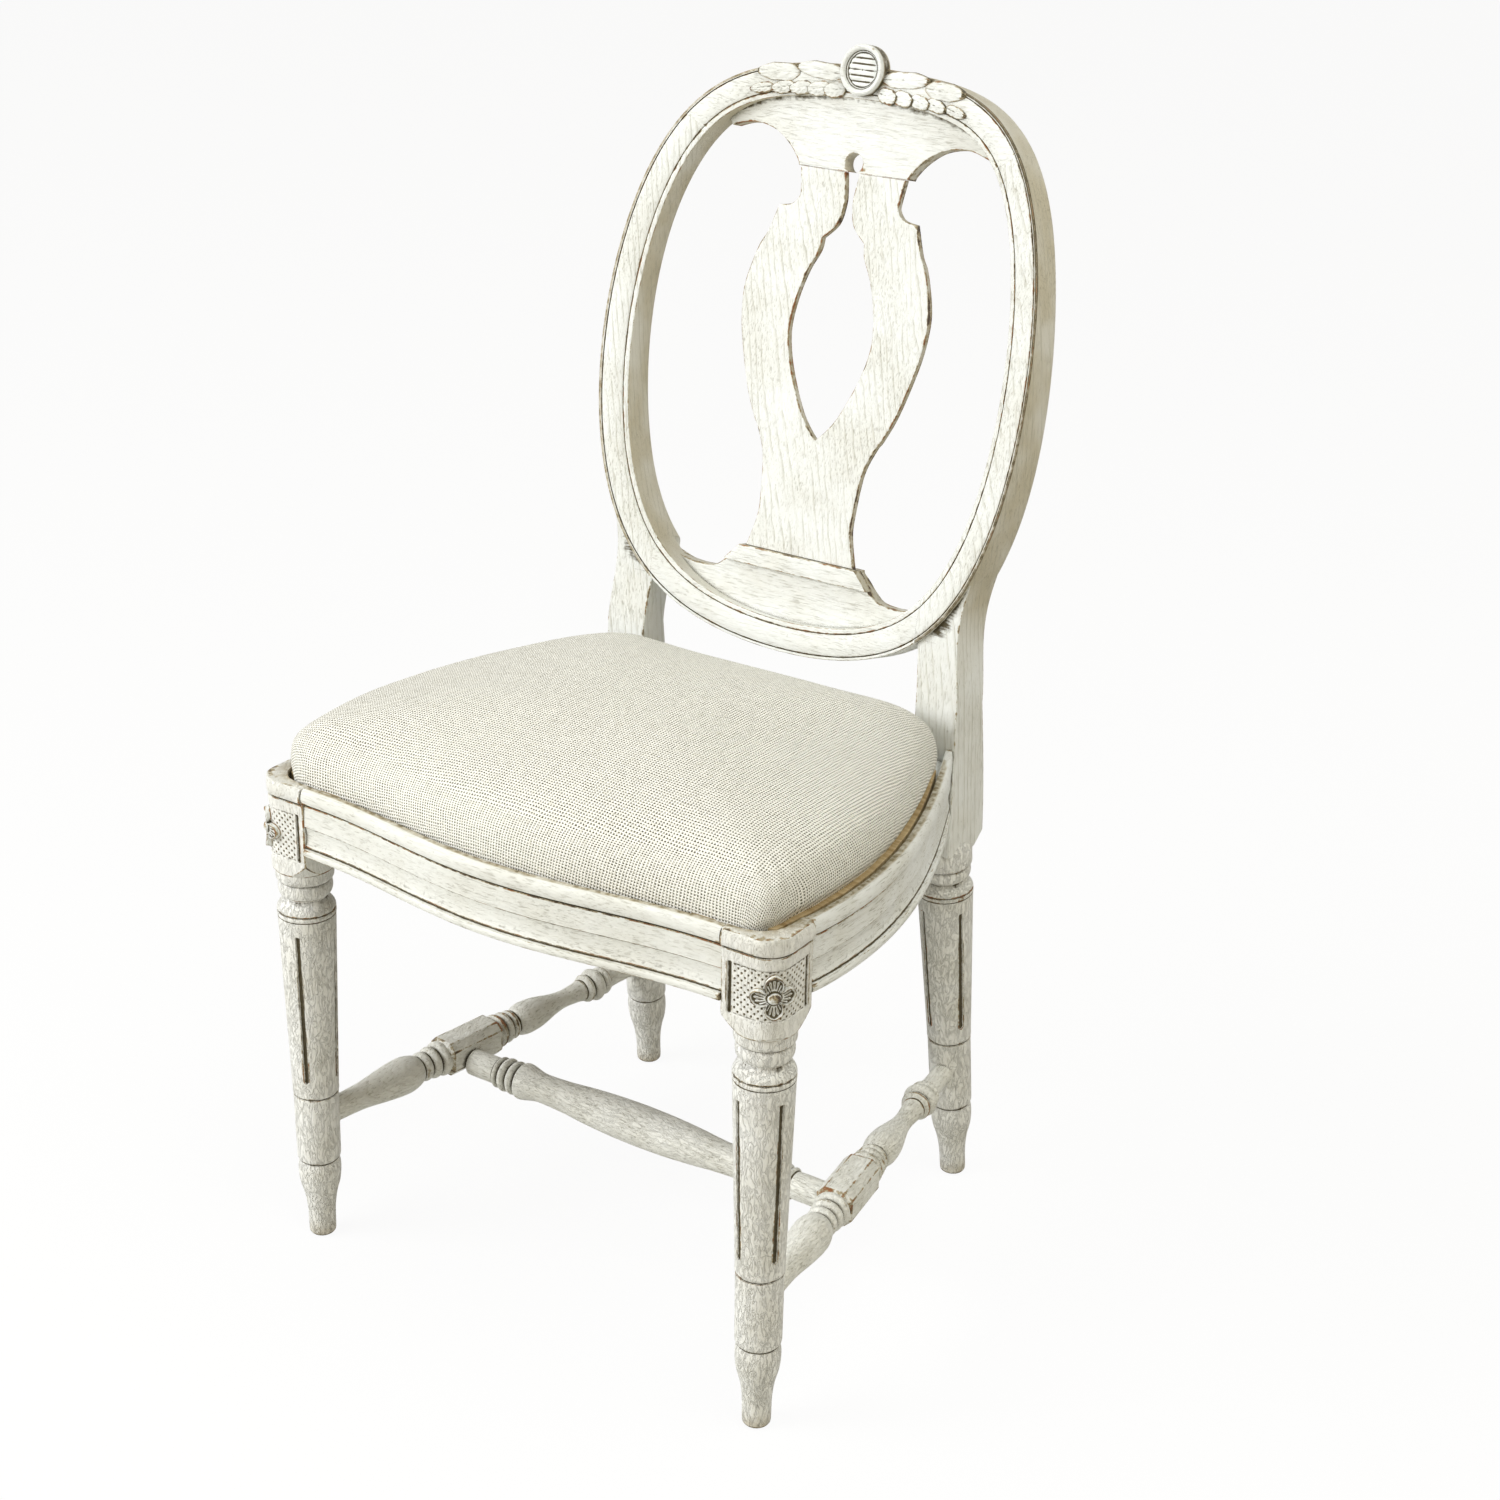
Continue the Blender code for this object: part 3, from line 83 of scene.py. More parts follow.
# ---------------------------------------------------------------- mesh tools
def smoothLine(points, steps):
    # a smooth line through the points, with its ends kept
    points = np.array(points, float)
    last = len(points) - 1
    rows = []
    for i in range(last):
        p0, p1, p2, p3 = points[max(i - 1, 0)], points[i], points[i + 1], points[min(i + 2, last)]
        for step in range(steps):
            t = step / steps
            rows.append(p1 + ((p2 - p0) * t + (2 * p0 - 5 * p1 + 4 * p2 - p3) * t * t
                              + (3 * p1 - p0 - 3 * p2 + p3) * t ** 3) / 2)
    rows.append(points[last])
    return np.array(rows)


def moulding(runs, steps=4):
    # smooth runs that meet at sharp corners; each run starts where the one before it ends
    rows = [smoothLine(runs[0], steps)]
    for run in runs[1:]:
        rows.append(smoothLine([tuple(rows[-1][-1])] + list(run), steps)[1:])
    return np.vstack(rows)


def softCorners(corners, radius):
    # a closed section with each corner eased, in five points a corner
    corners = [np.array(c, float) for c in corners]
    count = len(corners)
    section = []
    for i, corner in enumerate(corners):
        before, after = corners[i - 1] - corner, corners[(i + 1) % count] - corner
        reach = min(radius, np.linalg.norm(before) * 0.2, np.linalg.norm(after) * 0.2)
        before, after = before / np.linalg.norm(before), after / np.linalg.norm(after)
        section += [corner + before * reach * 2.2, corner + before * reach, corner + (before + after) * reach * 0.29,
                    corner + after * reach, corner + after * reach * 2.2]
    return np.array(section)


def skin(rings):
    # (points, faces) of a closed surface over rings of equal counts; a ring of one point is a pole
    points, faces, starts = [], [], []
    for ring in rings:
        starts.append(len(points))
        points += [tuple(p) for p in ring]
    for k in range(len(rings) - 1):
        low, high, a, b = len(rings[k]), len(rings[k + 1]), starts[k], starts[k + 1]
        count = max(low, high)
        for i in range(count):
            j = (i + 1) % count
            if low == 1:
                faces.append((a, b + j, b + i))
            elif high == 1:
                faces.append((a + i, a + j, b))
            else:
                faces.append((a + i, a + j, b + j, b + i))
    if len(rings[0]) > 1:
        faces.append(tuple(range(starts[0], starts[0] + len(rings[0])))[::-1])
    if len(rings[-1]) > 1:
        faces.append(tuple(range(starts[-1], starts[-1] + len(rings[-1]))))
    return points, faces


def share(value, low, high):
    # how far a value has come from low to high, 0 to 1
    return min(max((value - low) / (high - low), 0), 1)


def smoothShare(value, low, high):
    # the same with a soft start and end
    part = share(value, low, high)
    return part * part * (3 - 2 * part)


def unit(vector):
    return vector / np.linalg.norm(vector)


def readRows(rows, key, width, kind=float):
    # one property of every vertex, edge or loop, as rows of the width given
    values = np.empty(len(rows) * width, kind)
    rows.foreach_get(key, values)
    return values.reshape(-1, width) if width > 1 else values


def gather(ends, values, total, weight):
    # each vertex takes up the values of its neighbours
    for here, there in (ends, ends[::-1]):
        np.add.at(total, here, values[there])
        np.add.at(weight, here, 1)
    return total, weight


def placed(name, data):
    # a new object in the scene
    item = bpy.data.objects.new(name, data)
    bpy.context.scene.collection.objects.link(item)
    return item


def applied(item, modifier):
    # the item with its modifier made real
    mesh = bpy.data.meshes.new_from_object(item.evaluated_get(bpy.context.evaluated_depsgraph_get()))
    item.modifiers.remove(modifier)
    item.data = mesh
    return item


def meshFrom(name, parts):
    # one mesh of closed parts, moved to the frame's place
    points, faces = [], []
    for partPoints, partFaces in parts:
        start = len(points)
        points += [(p[0], p[1] + shiftY, p[2]) for p in partPoints]
        faces += [tuple(start + i for i in face) for face in partFaces]
    mesh = bpy.data.meshes.new(name)
    mesh.from_pydata(points, [], faces)
    bm = bmesh.new()
    bm.from_mesh(mesh)
    bmesh.ops.remove_doubles(bm, verts=bm.verts, dist=1e-6)
    bmesh.ops.recalc_face_normals(bm, faces=bm.faces)
    bm.to_mesh(mesh)
    bm.free()
    return placed(name, mesh)


def joinBy(item, other, operation):
    # exact boolean of two of this script's own pieces; the other one is used up
    modifier = item.modifiers.new("join", "BOOLEAN")
    modifier.operation, modifier.solver, modifier.object = operation, "EXACT", other
    applied(item, modifier)
    bpy.data.objects.remove(other)


def mirrorCopy(name, item):
    # the same piece on the other side, with its faces turned outwards again
    bm = bmesh.new()
    bm.from_mesh(item.data)
    bmesh.ops.transform(bm, matrix=Matrix.Diagonal((-1, 1, 1, 1)), verts=bm.verts)
    bmesh.ops.recalc_face_normals(bm, faces=bm.faces)
    mesh = bpy.data.meshes.new(name)
    bm.to_mesh(mesh)
    bm.free()
    return placed(name, mesh)


def spread(co, values, reach):
    # marked vertices carry their value to their neighbours, fading over the distance given
    marked = np.nonzero(values > wear["marked"])[0]
    if not len(marked):
        return values
    near = KDTree(len(marked))
    for k in marked:
        near.insert(co[k], int(k))
    near.balance()
    found = [near.find(p) for p in co]
    far = np.array([f[2] for f in found])
    return np.maximum(values, values[[f[1] for f in found]] * np.clip(wear["fade"] - far / reach, 0, 1))


# how sharply the shape has to turn to count as an arris or a quirk, and how far the mark fades out;
# a wall is a face turned from the plank's, from wallStart above the rails' top, and takes painted shade
wear = {
    "shortest": 1e-5, "reach": 0.0011, "edgeCap": 0.0008, "bendCap": 1.5, "gain": 2.2, "sharp": radians(35),
    "marked": 0.5, "fade": 1.25, "quirkSpread": 0.6, "wallTurn": 0.35, "wallGain": 3, "wallStart": 0.06,
}


def markWear(item, plane=None, grime=None, wide=0.0, calm=None):
    # attributes for the paint: arris is 1 where the shape turns out sharply, quirk where it turns in,
    # wall on the sides of a piece sawn from a plank with the given normal, where painted shade goes, grime as its
    # function says, where 1 is tan and 2 is dark, for dirt, glaze and painted shade
    mesh = item.data
    count = len(mesh.vertices)
    co, normal = (readRows(mesh.vertices, key, 3) for key in ("co", "normal"))
    a, b = readRows(mesh.edges, "vertices", 2, int).T
    along = co[b] - co[a]
    length = np.maximum(np.linalg.norm(along, axis=1), wear["shortest"])
    bend = np.einsum("ij,ij->i", normal[b] - normal[a], along) / length ** 2 * wear["reach"]
    total, weight = np.zeros(count), np.zeros(count)
    edgeWeight = np.minimum(length, wear["edgeCap"])
    bend = np.clip(bend, -wear["bendCap"], wear["bendCap"])
    for ends in (a, b):
        np.add.at(total, ends, bend * edgeWeight)
        np.add.at(weight, ends, edgeWeight)
    bend = np.clip(total / np.maximum(weight, 1e-9) * 2, -1, 1)
    for _ in range(2):
        total, weight = gather((a, b), bend, bend * 1.0, np.ones(count))
        bend = total / weight
    arris, quirk = (np.clip(sign * bend * wear["gain"], 0, 1) for sign in (1, -1))
    if calm is not None:
        arris *= 1 - calm(co - (0, shiftY, 0))
    if wide:
        arris, quirk = spread(co, arris, wide), spread(co, quirk, wide * wear["quirkSpread"])
    wall = np.zeros(count)
    if plane is not None:
        wall = np.clip((1 - np.abs(normal @ np.array(plane)) - wear["wallTurn"]) * wear["wallGain"], 0, 1)
        wall *= np.clip((co[:, 2] - rail["top"]) / wear["wallStart"] - 1, 0, 1)
    # these marks hold dirt, glaze and painted shade, as each piece's function gives them
    dirt = np.zeros(count) if grime is None else grime(co - (0, shiftY, 0), normal)
    for name, values in (("arris", arris), ("quirk", quirk), ("wall", wall), ("grime", dirt)):
        layer = mesh.attributes.new(name, "FLOAT", "POINT")
        layer.data.foreach_set("value", values.astype(np.float32))


def dress(item, material, nodes, **marks):
    # material, shading and the wear attributes for one finished piece, which hangs from the frame's body and hides the
    # frame's nodes that it replaces
    item.data.materials.clear()
    item.data.materials.append(material)
    item.data.shade_smooth()
    item.data.set_sharp_from_angle(angle=wear["sharp"])
    markWear(item, **marks)
    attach(item, "frame")
    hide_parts(*nodes)


def dressPair(item, material, node, **marks):
    # a right piece and its left mirror image
    copy = mirrorCopy(item.name.replace("right", "left"), item)
    for piece, side in ((item, "_right"), (copy, "_left")):
        dress(piece, material, [node + side], **marks)


# ---------------------------------------------------------------- materials
paintLook = {
    "paint": "#F0F3F2",        # chalky off-white top coat
    "undercoat": "#DAD8CA",    # thinner paint where the brush left little
    "grainShade": "#8E8972",   # glaze held in the pores of the oak
    "figureShade": "#B4B1A0",  # growth lines that show through as soft grey
    "glaze": "#51482F",        # antique glaze wiped into quirks and joints
    "edgeTone": "#BDB18E",     # painted shade on the sawn sides, which also took less paint
    "thin": "#AC9F80",         # paint rubbed thin
    "bareWood": "#94623A",     # oak that shows where arrises are rubbed through
    "darkRub": "#4B3B29",      # the same where old glaze has soaked in
    "poreWidth": 0.0010,       # real pores are 0.3 mm, drawn coarser so that they show
    "poreLength": 0.014,
    "figureWidth": 0.0034,     # spacing of the growth lines
    "patch": 0.050,            # size of the patches of lighter and heavier brushing
    "crackSize": 0.0036,       # width of two of the little plates of lifted paint
    "plateShare": 0.32,        # their width as a share of their length
    "emboss": 0.12,            # how far the plates stand out, 1 on the turned legs
}


def paintedOak(name, axis, look, flecks, lines):
    # open-grained oak under brushed chalk paint, rubbed back and glazed: matt, with dark grain lines,
    # brown rubs on the arrises, grey-brown in every quirk, and painted shade on the sawn sides and where the grime
    # marks ask for it
    material, tree, shader = newMaterial(name)
    add = partial(addNode, tree)
    wall, quirk, grime, arris = (add("Attribute", (), "Fac", attribute_name=key)
                                 for key in ("wall", "quirk", "grime", "arris"))
    place = add("TexCoord", (), "Object")
    scales = ([short if letter == axis else 1.0 for letter in "XYZ"]
              for short in (look["poreWidth"] / look["poreLength"], look["plateShare"]))
    along, plateSpace = (add("Mapping", {"Vector": place, "Scale": scale}, "Vector") for scale in scales)
    patches = add("TexNoise", {"Vector": place, "Scale": 1 / look["patch"], "Detail": 3.0}, "Fac")
    brushShare = add("Math", (add("MapRange", (patches, 0.40, 0.66), 0), 0.30), 0, operation="MULTIPLY")

    # grain: short dark pores, and long soft growth lines
    pores = add("TexNoise",
                {"Vector": along, "Scale": 1 / look["poreWidth"], "Detail": 2.0, "Roughness": 0.55}, "Fac")
    poreShare = add("Math",
                    (add("MapRange", (pores, 0.575, 0.66), 0),
                     add("MapRange", (patches, 0.36, 0.62, 0.35 * flecks, 0.90 * flecks), 0)), 0,
                    operation="MULTIPLY")
    figure = add("TexWave",
                 {"Vector": along, "Scale": 0.314 / look["figureWidth"], "Distortion": 13.0, "Detail": 4.0,
                  "Detail Scale": 0.16, "Detail Roughness": 0.66}, "Fac",
                 wave_type="BANDS", bands_direction="DIAGONAL", wave_profile="SAW")
    breaks = add("TexNoise", {"Vector": along, "Scale": 150.0, "Detail": 2.0}, "Fac")
    broken = add("Math", (add("MapRange", (breaks, 0.38, 0.60), 0), lines), 0, operation="MULTIPLY")
    figureShare = add("Math", (add("MapRange", (figure, 0.70, 1.0), 0), broken), 0, operation="MULTIPLY")

    # paint lifted into small plates: their seams are low and hold glaze
    plates = add("TexNoise",
                 {"Vector": plateSpace, "Scale": 1 / look["crackSize"], "Detail": 3.0, "Roughness": 0.62,
                  "Distortion": 0.5}, "Fac")
    middle = add("Math", (plates, 0.5), 0, operation="SUBTRACT")
    offMiddle = add("Math", (middle,), 0, operation="ABSOLUTE")
    seams = add("MapRange", (offMiddle, 0.0, 0.055, 1.0, 0.0), 0)
    seamTint = add("MapRange", (patches, 0.34, 0.62, 0.03 * look["emboss"], 0.17 * look["emboss"]), 0)
    crackShare = add("Math", (seams, seamTint), 0, operation="MULTIPLY")
    # the sawn sides are darkened towards edgeTone: painted shade
    wallShadeShare = add("Math", (wall, add("MapRange", (patches, 0.3, 0.6, 0.38, 0.68), 0)), 0, operation="MULTIPLY")

    # glaze in the quirks and where pieces meet, and the dirt, glaze and painted shade that the shape was given
    shade = add("AmbientOcclusion", {"Distance": 0.006}, "AO", samples=5)
    smears = add("TexNoise", {"Vector": place, "Scale": 190.0, "Detail": 4.0}, "Fac")
    deepGrimeAndShade = add("Math", (grime, 1.0), 0, operation="SUBTRACT")
    hollow = add("Math",
                 (add("Math", (quirk, deepGrimeAndShade), 0, operation="MAXIMUM"),
                  add("MapRange", (shade, 0.62, 0.25), 0)), 0, operation="MAXIMUM")
    hollowShare = add("MapRange", (add("Math", (hollow, smears), 0, operation="ADD"), 0.70, 1.05), 0)
    grimeAndShadeShare = add("Math",
                     (add("Math", (grime, 1.0), 0, operation="MINIMUM"),
                      add("MapRange", (smears, 0.30, 0.62, 0.35, 1.0), 0)), 0, operation="MULTIPLY")

    # arrises rubbed thin, and through to the oak here and there
    rubs = add("TexNoise", {"Vector": place, "Scale": 105.0, "Detail": 5.0, "Roughness": 0.68}, "Fac")
    rubbed = add("Math", (arris, rubs), 0, operation="MULTIPLY")
    soaked = add("TexNoise", {"Vector": place, "Scale": 22.0, "Detail": 2.0}, "Fac")
    bare = add("Mix", {0: add("MapRange", (soaked, 0.46, 0.54), 0),
                                 6: linear(look["bareWood"]), 7: linear(look["darkRub"])}, 2, data_type="RGBA")

    colour = linear(look["paint"])
    for amount, tone in ((brushShare, "undercoat"), (wallShadeShare, "edgeTone"), (figureShare, "figureShade"),
                         (crackShare, "grainShade"), (poreShare, "grainShade"), (grimeAndShadeShare, "thin"),
                         (hollowShare, "glaze"), (add("MapRange", (rubbed, 0.40, 0.47), 0), "thin"),
                         (add("MapRange", (rubbed, 0.49, 0.54), 0), bare)):
        over = linear(look[tone]) if isinstance(tone, str) else tone
        colour = add("Mix", {0: amount, 6: colour, 7: over}, 2, data_type="RGBA")
    tree.links.new(colour, shader.inputs["Base Color"])

    tree.links.new(add("MapRange", (patches, 0.3, 0.7, 0.52, 0.70), 0), shader.inputs["Roughness"])
    softFigure = add("Math", (figureShare, 0.6), 0, operation="MULTIPLY")
    fine = add("Math", (poreShare, softFigure), 0, operation="ADD")
    raised = add("Math", (seams, plates), 0, operation="ADD")
    lifted = add("Math", (raised, 1.9 * look["emboss"]), 0, operation="MULTIPLY")
    relief = add("Math", (fine, lifted), 0, operation="ADD")
    bump = add("Bump", {"Height": relief, "Strength": 0.85, "Distance": 0.0008}, "Normal", invert=True)
    tree.links.new(bump, shader.inputs["Normal"])
    shader.inputs["IOR"].default_value = 1.48
    return material


uprightPaint = paintedOak("chalk_paint_on_oak_upright", "Z", paintLook, 0.42, 0.60)
crossPaint = paintedOak("chalk_paint_on_oak_across", "X", paintLook, 0.42, 0.16)
sidePaint = paintedOak("chalk_paint_on_oak_side", "Y", paintLook, 0.65, 0.25)
turnedLook = dict(paintLook, paint="#F3F4F1", poreWidth=0.0012, poreLength=0.006, patch=0.035, emboss=0.62)
turnedPaint = paintedOak("crackled_paint_on_turned_oak", "Z", turnedLook, 0.28, 0.12)
blockLook = dict(turnedLook, poreLength=0.0035, emboss=0.30)
blockPaint = paintedOak("rubbed_paint_on_oak_block", "Z", blockLook, 0.40, 0.10)
# the stretchers were handled and kicked: more glaze left on them, and smoother plates; their paint is lighter, a
# painted light for the stretchers under the seat
litSpindleLook = dict(turnedLook, paint="#F6F7F2", crackSize=0.0030, emboss=0.30)
spindleSide = paintedOak("rubbed_paint_on_oak_spindle_side", "Y", litSpindleLook, 0.55, 0.30)
spindleAcross = paintedOak("rubbed_paint_on_oak_spindle_across", "X", litSpindleLook, 0.55, 0.30)
railLook = dict(paintLook, paint="#ECEEEA", undercoat="#D4D2C4")
railPaint = paintedOak("chalk_paint_on_oak_rail", "X", railLook, 0.42, 0.16)
print("paint ready")

# ---------------------------------------------------------------- legs
leg = {
    "x": 0.2259, "radius": 0.0242, "foot": 0.0755, "columns": 88, "rowStep": 0.0016, "sole": 0.004,
    "drop": 0.0146,  # its shoulder lies this far under the rail
    "fluteWidth": 0.0042, "fluteDepth": 0.0019, "fluteMargin": 0.0165, "fluteRise": 0.004, "fluteRadius": 0.0210,
    # each leg's band above the foot, its collar below the shoulder and the turn of its first flute
    "front": (0.1405, 0.0516, radians(-112)), "rear": (0.1455, 0.0445, radians(-116)),
    # height over the shoulder and radius where each one ends inside the piece above
    "frontTail": (0.004, 0.0236), "rearTail": (0.011, 0.0174),
    # height as a share of the foot, radius as a share of the leg; runs meet at sharp quirks
    "footRuns": [
        [(0.000, 0.30), (0.010, 0.38), (0.030, 0.44), (0.070, 0.470), (0.290, 0.482), (0.430, 0.520), (0.560, 0.590),
         (0.690, 0.695), (0.800, 0.740), (0.900, 0.748), (0.960, 0.725), (0.990, 0.690)],
        [(1.000, 0.668), (1.012, 0.690)],
        [(1.030, 0.745), (1.060, 0.763), (1.120, 0.765)],
    ],
    # height above the band as a share of the leg's radius
    "bandRuns": [
        [(-0.35, 0.782), (-0.10, 0.785), (-0.03, 0.775)],
        [(0.00, 0.738), (0.03, 0.775)],
        [(0.07, 0.800), (0.14, 0.806), (0.20, 0.800)],
    ],
    # height over the taper as a share of the collar, radius as a share of the leg
    "collarRuns": [
        [(-0.020, 0.990), (-0.006, 0.985)],
        [(0.000, 0.945), (0.010, 0.985)],
        [(0.030, 1.004), (0.060, 1.004), (0.084, 0.985)],
        [(0.093, 0.945), (0.104, 0.985)],
        [(0.125, 0.998), (0.180, 0.960), (0.230, 0.880), (0.275, 0.790), (0.315, 0.748), (0.345, 0.745)],
        [(0.352, 0.740), (0.358, 0.790)],
        [(0.385, 0.862), (0.430, 0.908), (0.500, 0.928), (0.575, 0.905), (0.612, 0.855)],
        [(0.620, 0.835), (0.628, 0.900)],
        [(0.660, 0.962), (0.700, 0.985), (0.840, 0.985)],
    ],
}


def legRows(height, band, collar):
    # rows (distance up the axis, radius) of a turned leg up to its shoulder
    r = leg["radius"]
    foot = moulding(leg["footRuns"]) * (leg["foot"], r)
    ring = moulding(leg["bandRuns"]) * (r, r) + (band, 0)
    top = moulding(leg["collarRuns"]) * (collar, r) + (height - collar, 0)
    straight = []
    for first, second in ((foot[-1], ring[0]), (ring[-1], top[0])):
        steps = int((second[0] - first[0]) / leg["rowStep"])
        straight.append([first + (second - first) * k / steps for k in range(1, steps)])
    return np.vstack([foot, straight[0], ring, straight[1], top])


def turnedLeg(foot, top, height, tail, band, collar, fluteTurn):
    # a lathe with columns gathered at the four flutes, which are pressed in along the radius;
    # the tail's rows end it inside the piece above
    rows = np.vstack([legRows(height, band, collar), tail])
    foot, top = np.array(foot), np.array(top)
    along = unit(top - foot)
    first = unit(np.array([1.0, 0, 0]) - along * along[0])
    second = np.cross(along, first)
    width, depth = leg["fluteWidth"] / 2, leg["fluteDepth"]
    centres = [fluteTurn + k * pi / 2 for k in range(4)]
    fine = np.array([-1.5, -1.15, -1.0, -0.92, -0.75, -0.5, -0.25, 0, 0.25, 0.5, 0.75, 0.92, 1.0, 1.15, 1.5]) * width
    turns, steps = fine / leg["fluteRadius"], leg["columns"] // 4
    angles = []
    for centre in centres:
        left, right = centre + turns[-1], centre + pi / 2 + turns[0]
        angles += list(centre + turns) + [left + (right - left) * j / steps for j in range(1, steps)]
    angles = np.array(angles)
    low, high = band + leg["fluteMargin"] + width, height - collar - leg["fluteMargin"] + leg["fluteRise"] - width
    fineRows = np.concatenate([low - width * np.cos(np.linspace(0, pi / 2, 7)),
                               high + width * np.sin(np.linspace(0, pi / 2, 7))])
    extra = [(z, np.interp(z, rows[:, 0], rows[:, 1])) for z in fineRows]
    rows = np.array(sorted([tuple(row) for row in rows] + extra))
    rings = []
    for z, r in rows:
        reach = np.full(len(angles), r)
        for centre in centres:
            turn = (angles - centre + pi) % (2 * pi) - pi
            off = np.hypot(turn * r, max(low - z, 0, z - high))
            inside = off < width
            reach[inside] -= depth * np.sqrt(1 - (off[inside] / width) ** 2)
        ring = foot + along * z + np.outer(reach * np.cos(angles), first) + np.outer(reach * np.sin(angles), second)
        if z < leg["sole"]:  # the sole is level, whatever the leg's lean
            ring -= np.outer((ring[:, 2] - z * along[2]) / along[2] * (1 - z / leg["sole"]), along)
        rings.append(ring)
    return rings


rail = {
    "top": 0.4345, "height": 0.0590, "thickness": 0.0220, "bead": 0.0040, "lip": 0.0110, "ledge": 0.4225,
    "lipRows": (0.0045, 0.0015), "arris": 0.0008, "thinnest": 0.0020,
}
rail["bottom"] = rail["top"] - rail["height"]
legHeight = rail["bottom"] - leg["drop"]
rearFoot, rearTop = (0.1702, 0.4036, 0.0), (0.1620, 0.3710, 0.3360)
rearLength = float(np.linalg.norm(np.subtract(rearTop, rearFoot)))
frontTurning = turnedLeg((leg["x"], 0, 0), (leg["x"], 0, legHeight), legHeight,
                         [np.add(leg["frontTail"], (legHeight, 0))], *leg["front"])
rearTurning = turnedLeg(rearFoot, rearTop, rearLength,
                        [(rearLength, leg["radius"]), np.add(leg["rearTail"], (rearLength, 0))], *leg["rear"])

# ---------------------------------------------------------------- front blocks
block = {
    "corner": 0.0190, "innerCorner": 0.0012, "beadOut": 0.0030, "beadOnCorner": 0.30, "shoulder": 0.0090,
    "grooveInset": 0.0072, "grooveWidth": 0.0037, "grooveDepth": 0.0026, "panelSunk": 0.0007,
    "panelLow": 0.3680, "panelHigh": 0.4100, "dotPitch": 0.0052, "dotWidth": 0.0016, "dotDepth": 0.0010,
    "step": 0.0006, "ease": 0.0008, "dotMargin": 0.0030, "rowMargin": 0.0015, "dotTightness": 1.25,
    # height as a share of the rail, projection as a share of the bead
    "beadRuns": [
        [(0.700, 0.00), (0.745, 0.00)], [(0.760, -0.55), (0.775, 0.20)],
        [(0.800, 0.80), (0.850, 1.02), (0.900, 1.00), (0.950, 0.82), (0.985, 0.45), (1.000, 0.10)],
    ],
}


def blockPlan():
    # points, outward normals and a coordinate along the outer faces, zero on the rounded corner's middle
    h, r, small = halfBlock, block["corner"], block["innerCorner"]
    points, normals, places = [], [], []

    def walk(start, end, normal, placeStart):
        length = np.linalg.norm(np.subtract(end, start))
        steps = max(int(length / block["step"]), 2)
        for k in range(steps):
            t = k / steps
            points.append(np.array(start) * (1 - t) + np.array(end) * t)
            normals.append(np.array(normal, float))
            places.append(None if placeStart is None else placeStart + length * t)

    def turn(centre, radius, first, last, placeStart):
        steps = max(int(abs(last - first) * radius / block["step"]), 4)
        for k in range(steps):
            angle = first + (last - first) * k / steps
            direction = np.array([cos(angle), sin(angle)])
            points.append(np.array(centre) + direction * radius)
            normals.append(direction)
            places.append(None if placeStart is None else placeStart + radius * (angle - first))

    quarter = r * pi / 4
    face = 2 * h - r - small
    turn((-h + small, -h + small), small, -pi, -pi / 2, None)
    walk((-h + small, -h), (h - r, -h), (0, -1), -quarter - face)
    turn((h - r, -h + r), r, -pi / 2, 0, -quarter)
    walk((h, -h + r), (h, h - small), (1, 0), quarter)
    turn((h - small, h - small), small, 0, pi / 2, None)
    walk((h - small, h), (-h + small, h), (0, 1), None)
    turn((-h + small, h - small), small, pi / 2, pi, None)
    walk((-h, h - small), (-h, -h + small), (-1, 0), None)
    return np.array(points), np.array(normals), places, quarter + face


def easeEdge(value):
    return np.clip(value / block["ease"] + 0.5, 0, 1)


def dotDistance(place, z):
    # distance to the nearest of the punched dots, which are set corner to corner
    scale = block["dotPitch"] / block["dotTightness"]
    u, v = (place + z) / scale / sqrt(2), (place - z) / scale / sqrt(2)
    return np.hypot(u - np.round(u), v - np.round(v)) * scale


def inDotRows(z):
    return (z > block["panelLow"] + block["rowMargin"]) & (z < block["panelHigh"] - block["rowMargin"])


def blockRings():
    points, normals, places, faceEnd = blockPlan()
    onFace = np.array([p is not None for p in places])
    place = np.array([0 if p is None else p for p in places], float)
    cornerShare = 1 + (block["beadOnCorner"] - 1) * np.abs(normals[:, 0] * normals[:, 1] * 2)
    low, high = block["panelLow"], block["panelHigh"]
    grooveAt = faceEnd + block["innerCorner"] - block["grooveInset"]
    base = legHeight - block["shoulder"]
    bead = moulding(block["beadRuns"]) * (rail["height"], block["beadOut"]) + (rail["bottom"], 0)
    heights = list(np.arange(base, bead[0][0], block["step"])) + [row[0] for row in bead]
    rings = []
    for z in heights:
        out = np.interp(z, bead[:, 0], bead[:, 1]) * cornerShare
        # sunk panel between the grooves, with rows of punched dots
        tall = easeEdge(z - low) * easeEdge(high - z)
        off = dotDistance(place, z) / block["dotWidth"] * 2
        inside = (off < 1) & (np.abs(place) < grooveAt - block["dotMargin"]) & inDotRows(z)
        dot = np.where(inside, block["dotDepth"] * np.sqrt(np.clip(1 - off ** 2, 0, 1)), 0)
        groove = np.clip(1 - (np.abs(np.abs(place) - grooveAt) / (block["grooveWidth"] / 2)) ** 4, 0, 1)
        dent = np.maximum(block["panelSunk"] * easeEdge(grooveAt - np.abs(place)) * tall + dot,
                          block["grooveDepth"] * groove * tall)
        moved = points + normals * np.where(onFace, out - dent, 0)[:, None]
        # below the block a turned shoulder takes the corners off
        cone = leg["radius"] + (halfBlock * sqrt(2) - leg["radius"]) * (z - base) / (block["shoulder"] * 1.5)
        reach = np.linalg.norm(moved, axis=1)
        moved *= np.minimum(1, cone / reach)[:, None]
        rings.append(np.column_stack([moved[:, 0] + leg["x"], moved[:, 1], np.full(len(moved), z)]))
    return rings


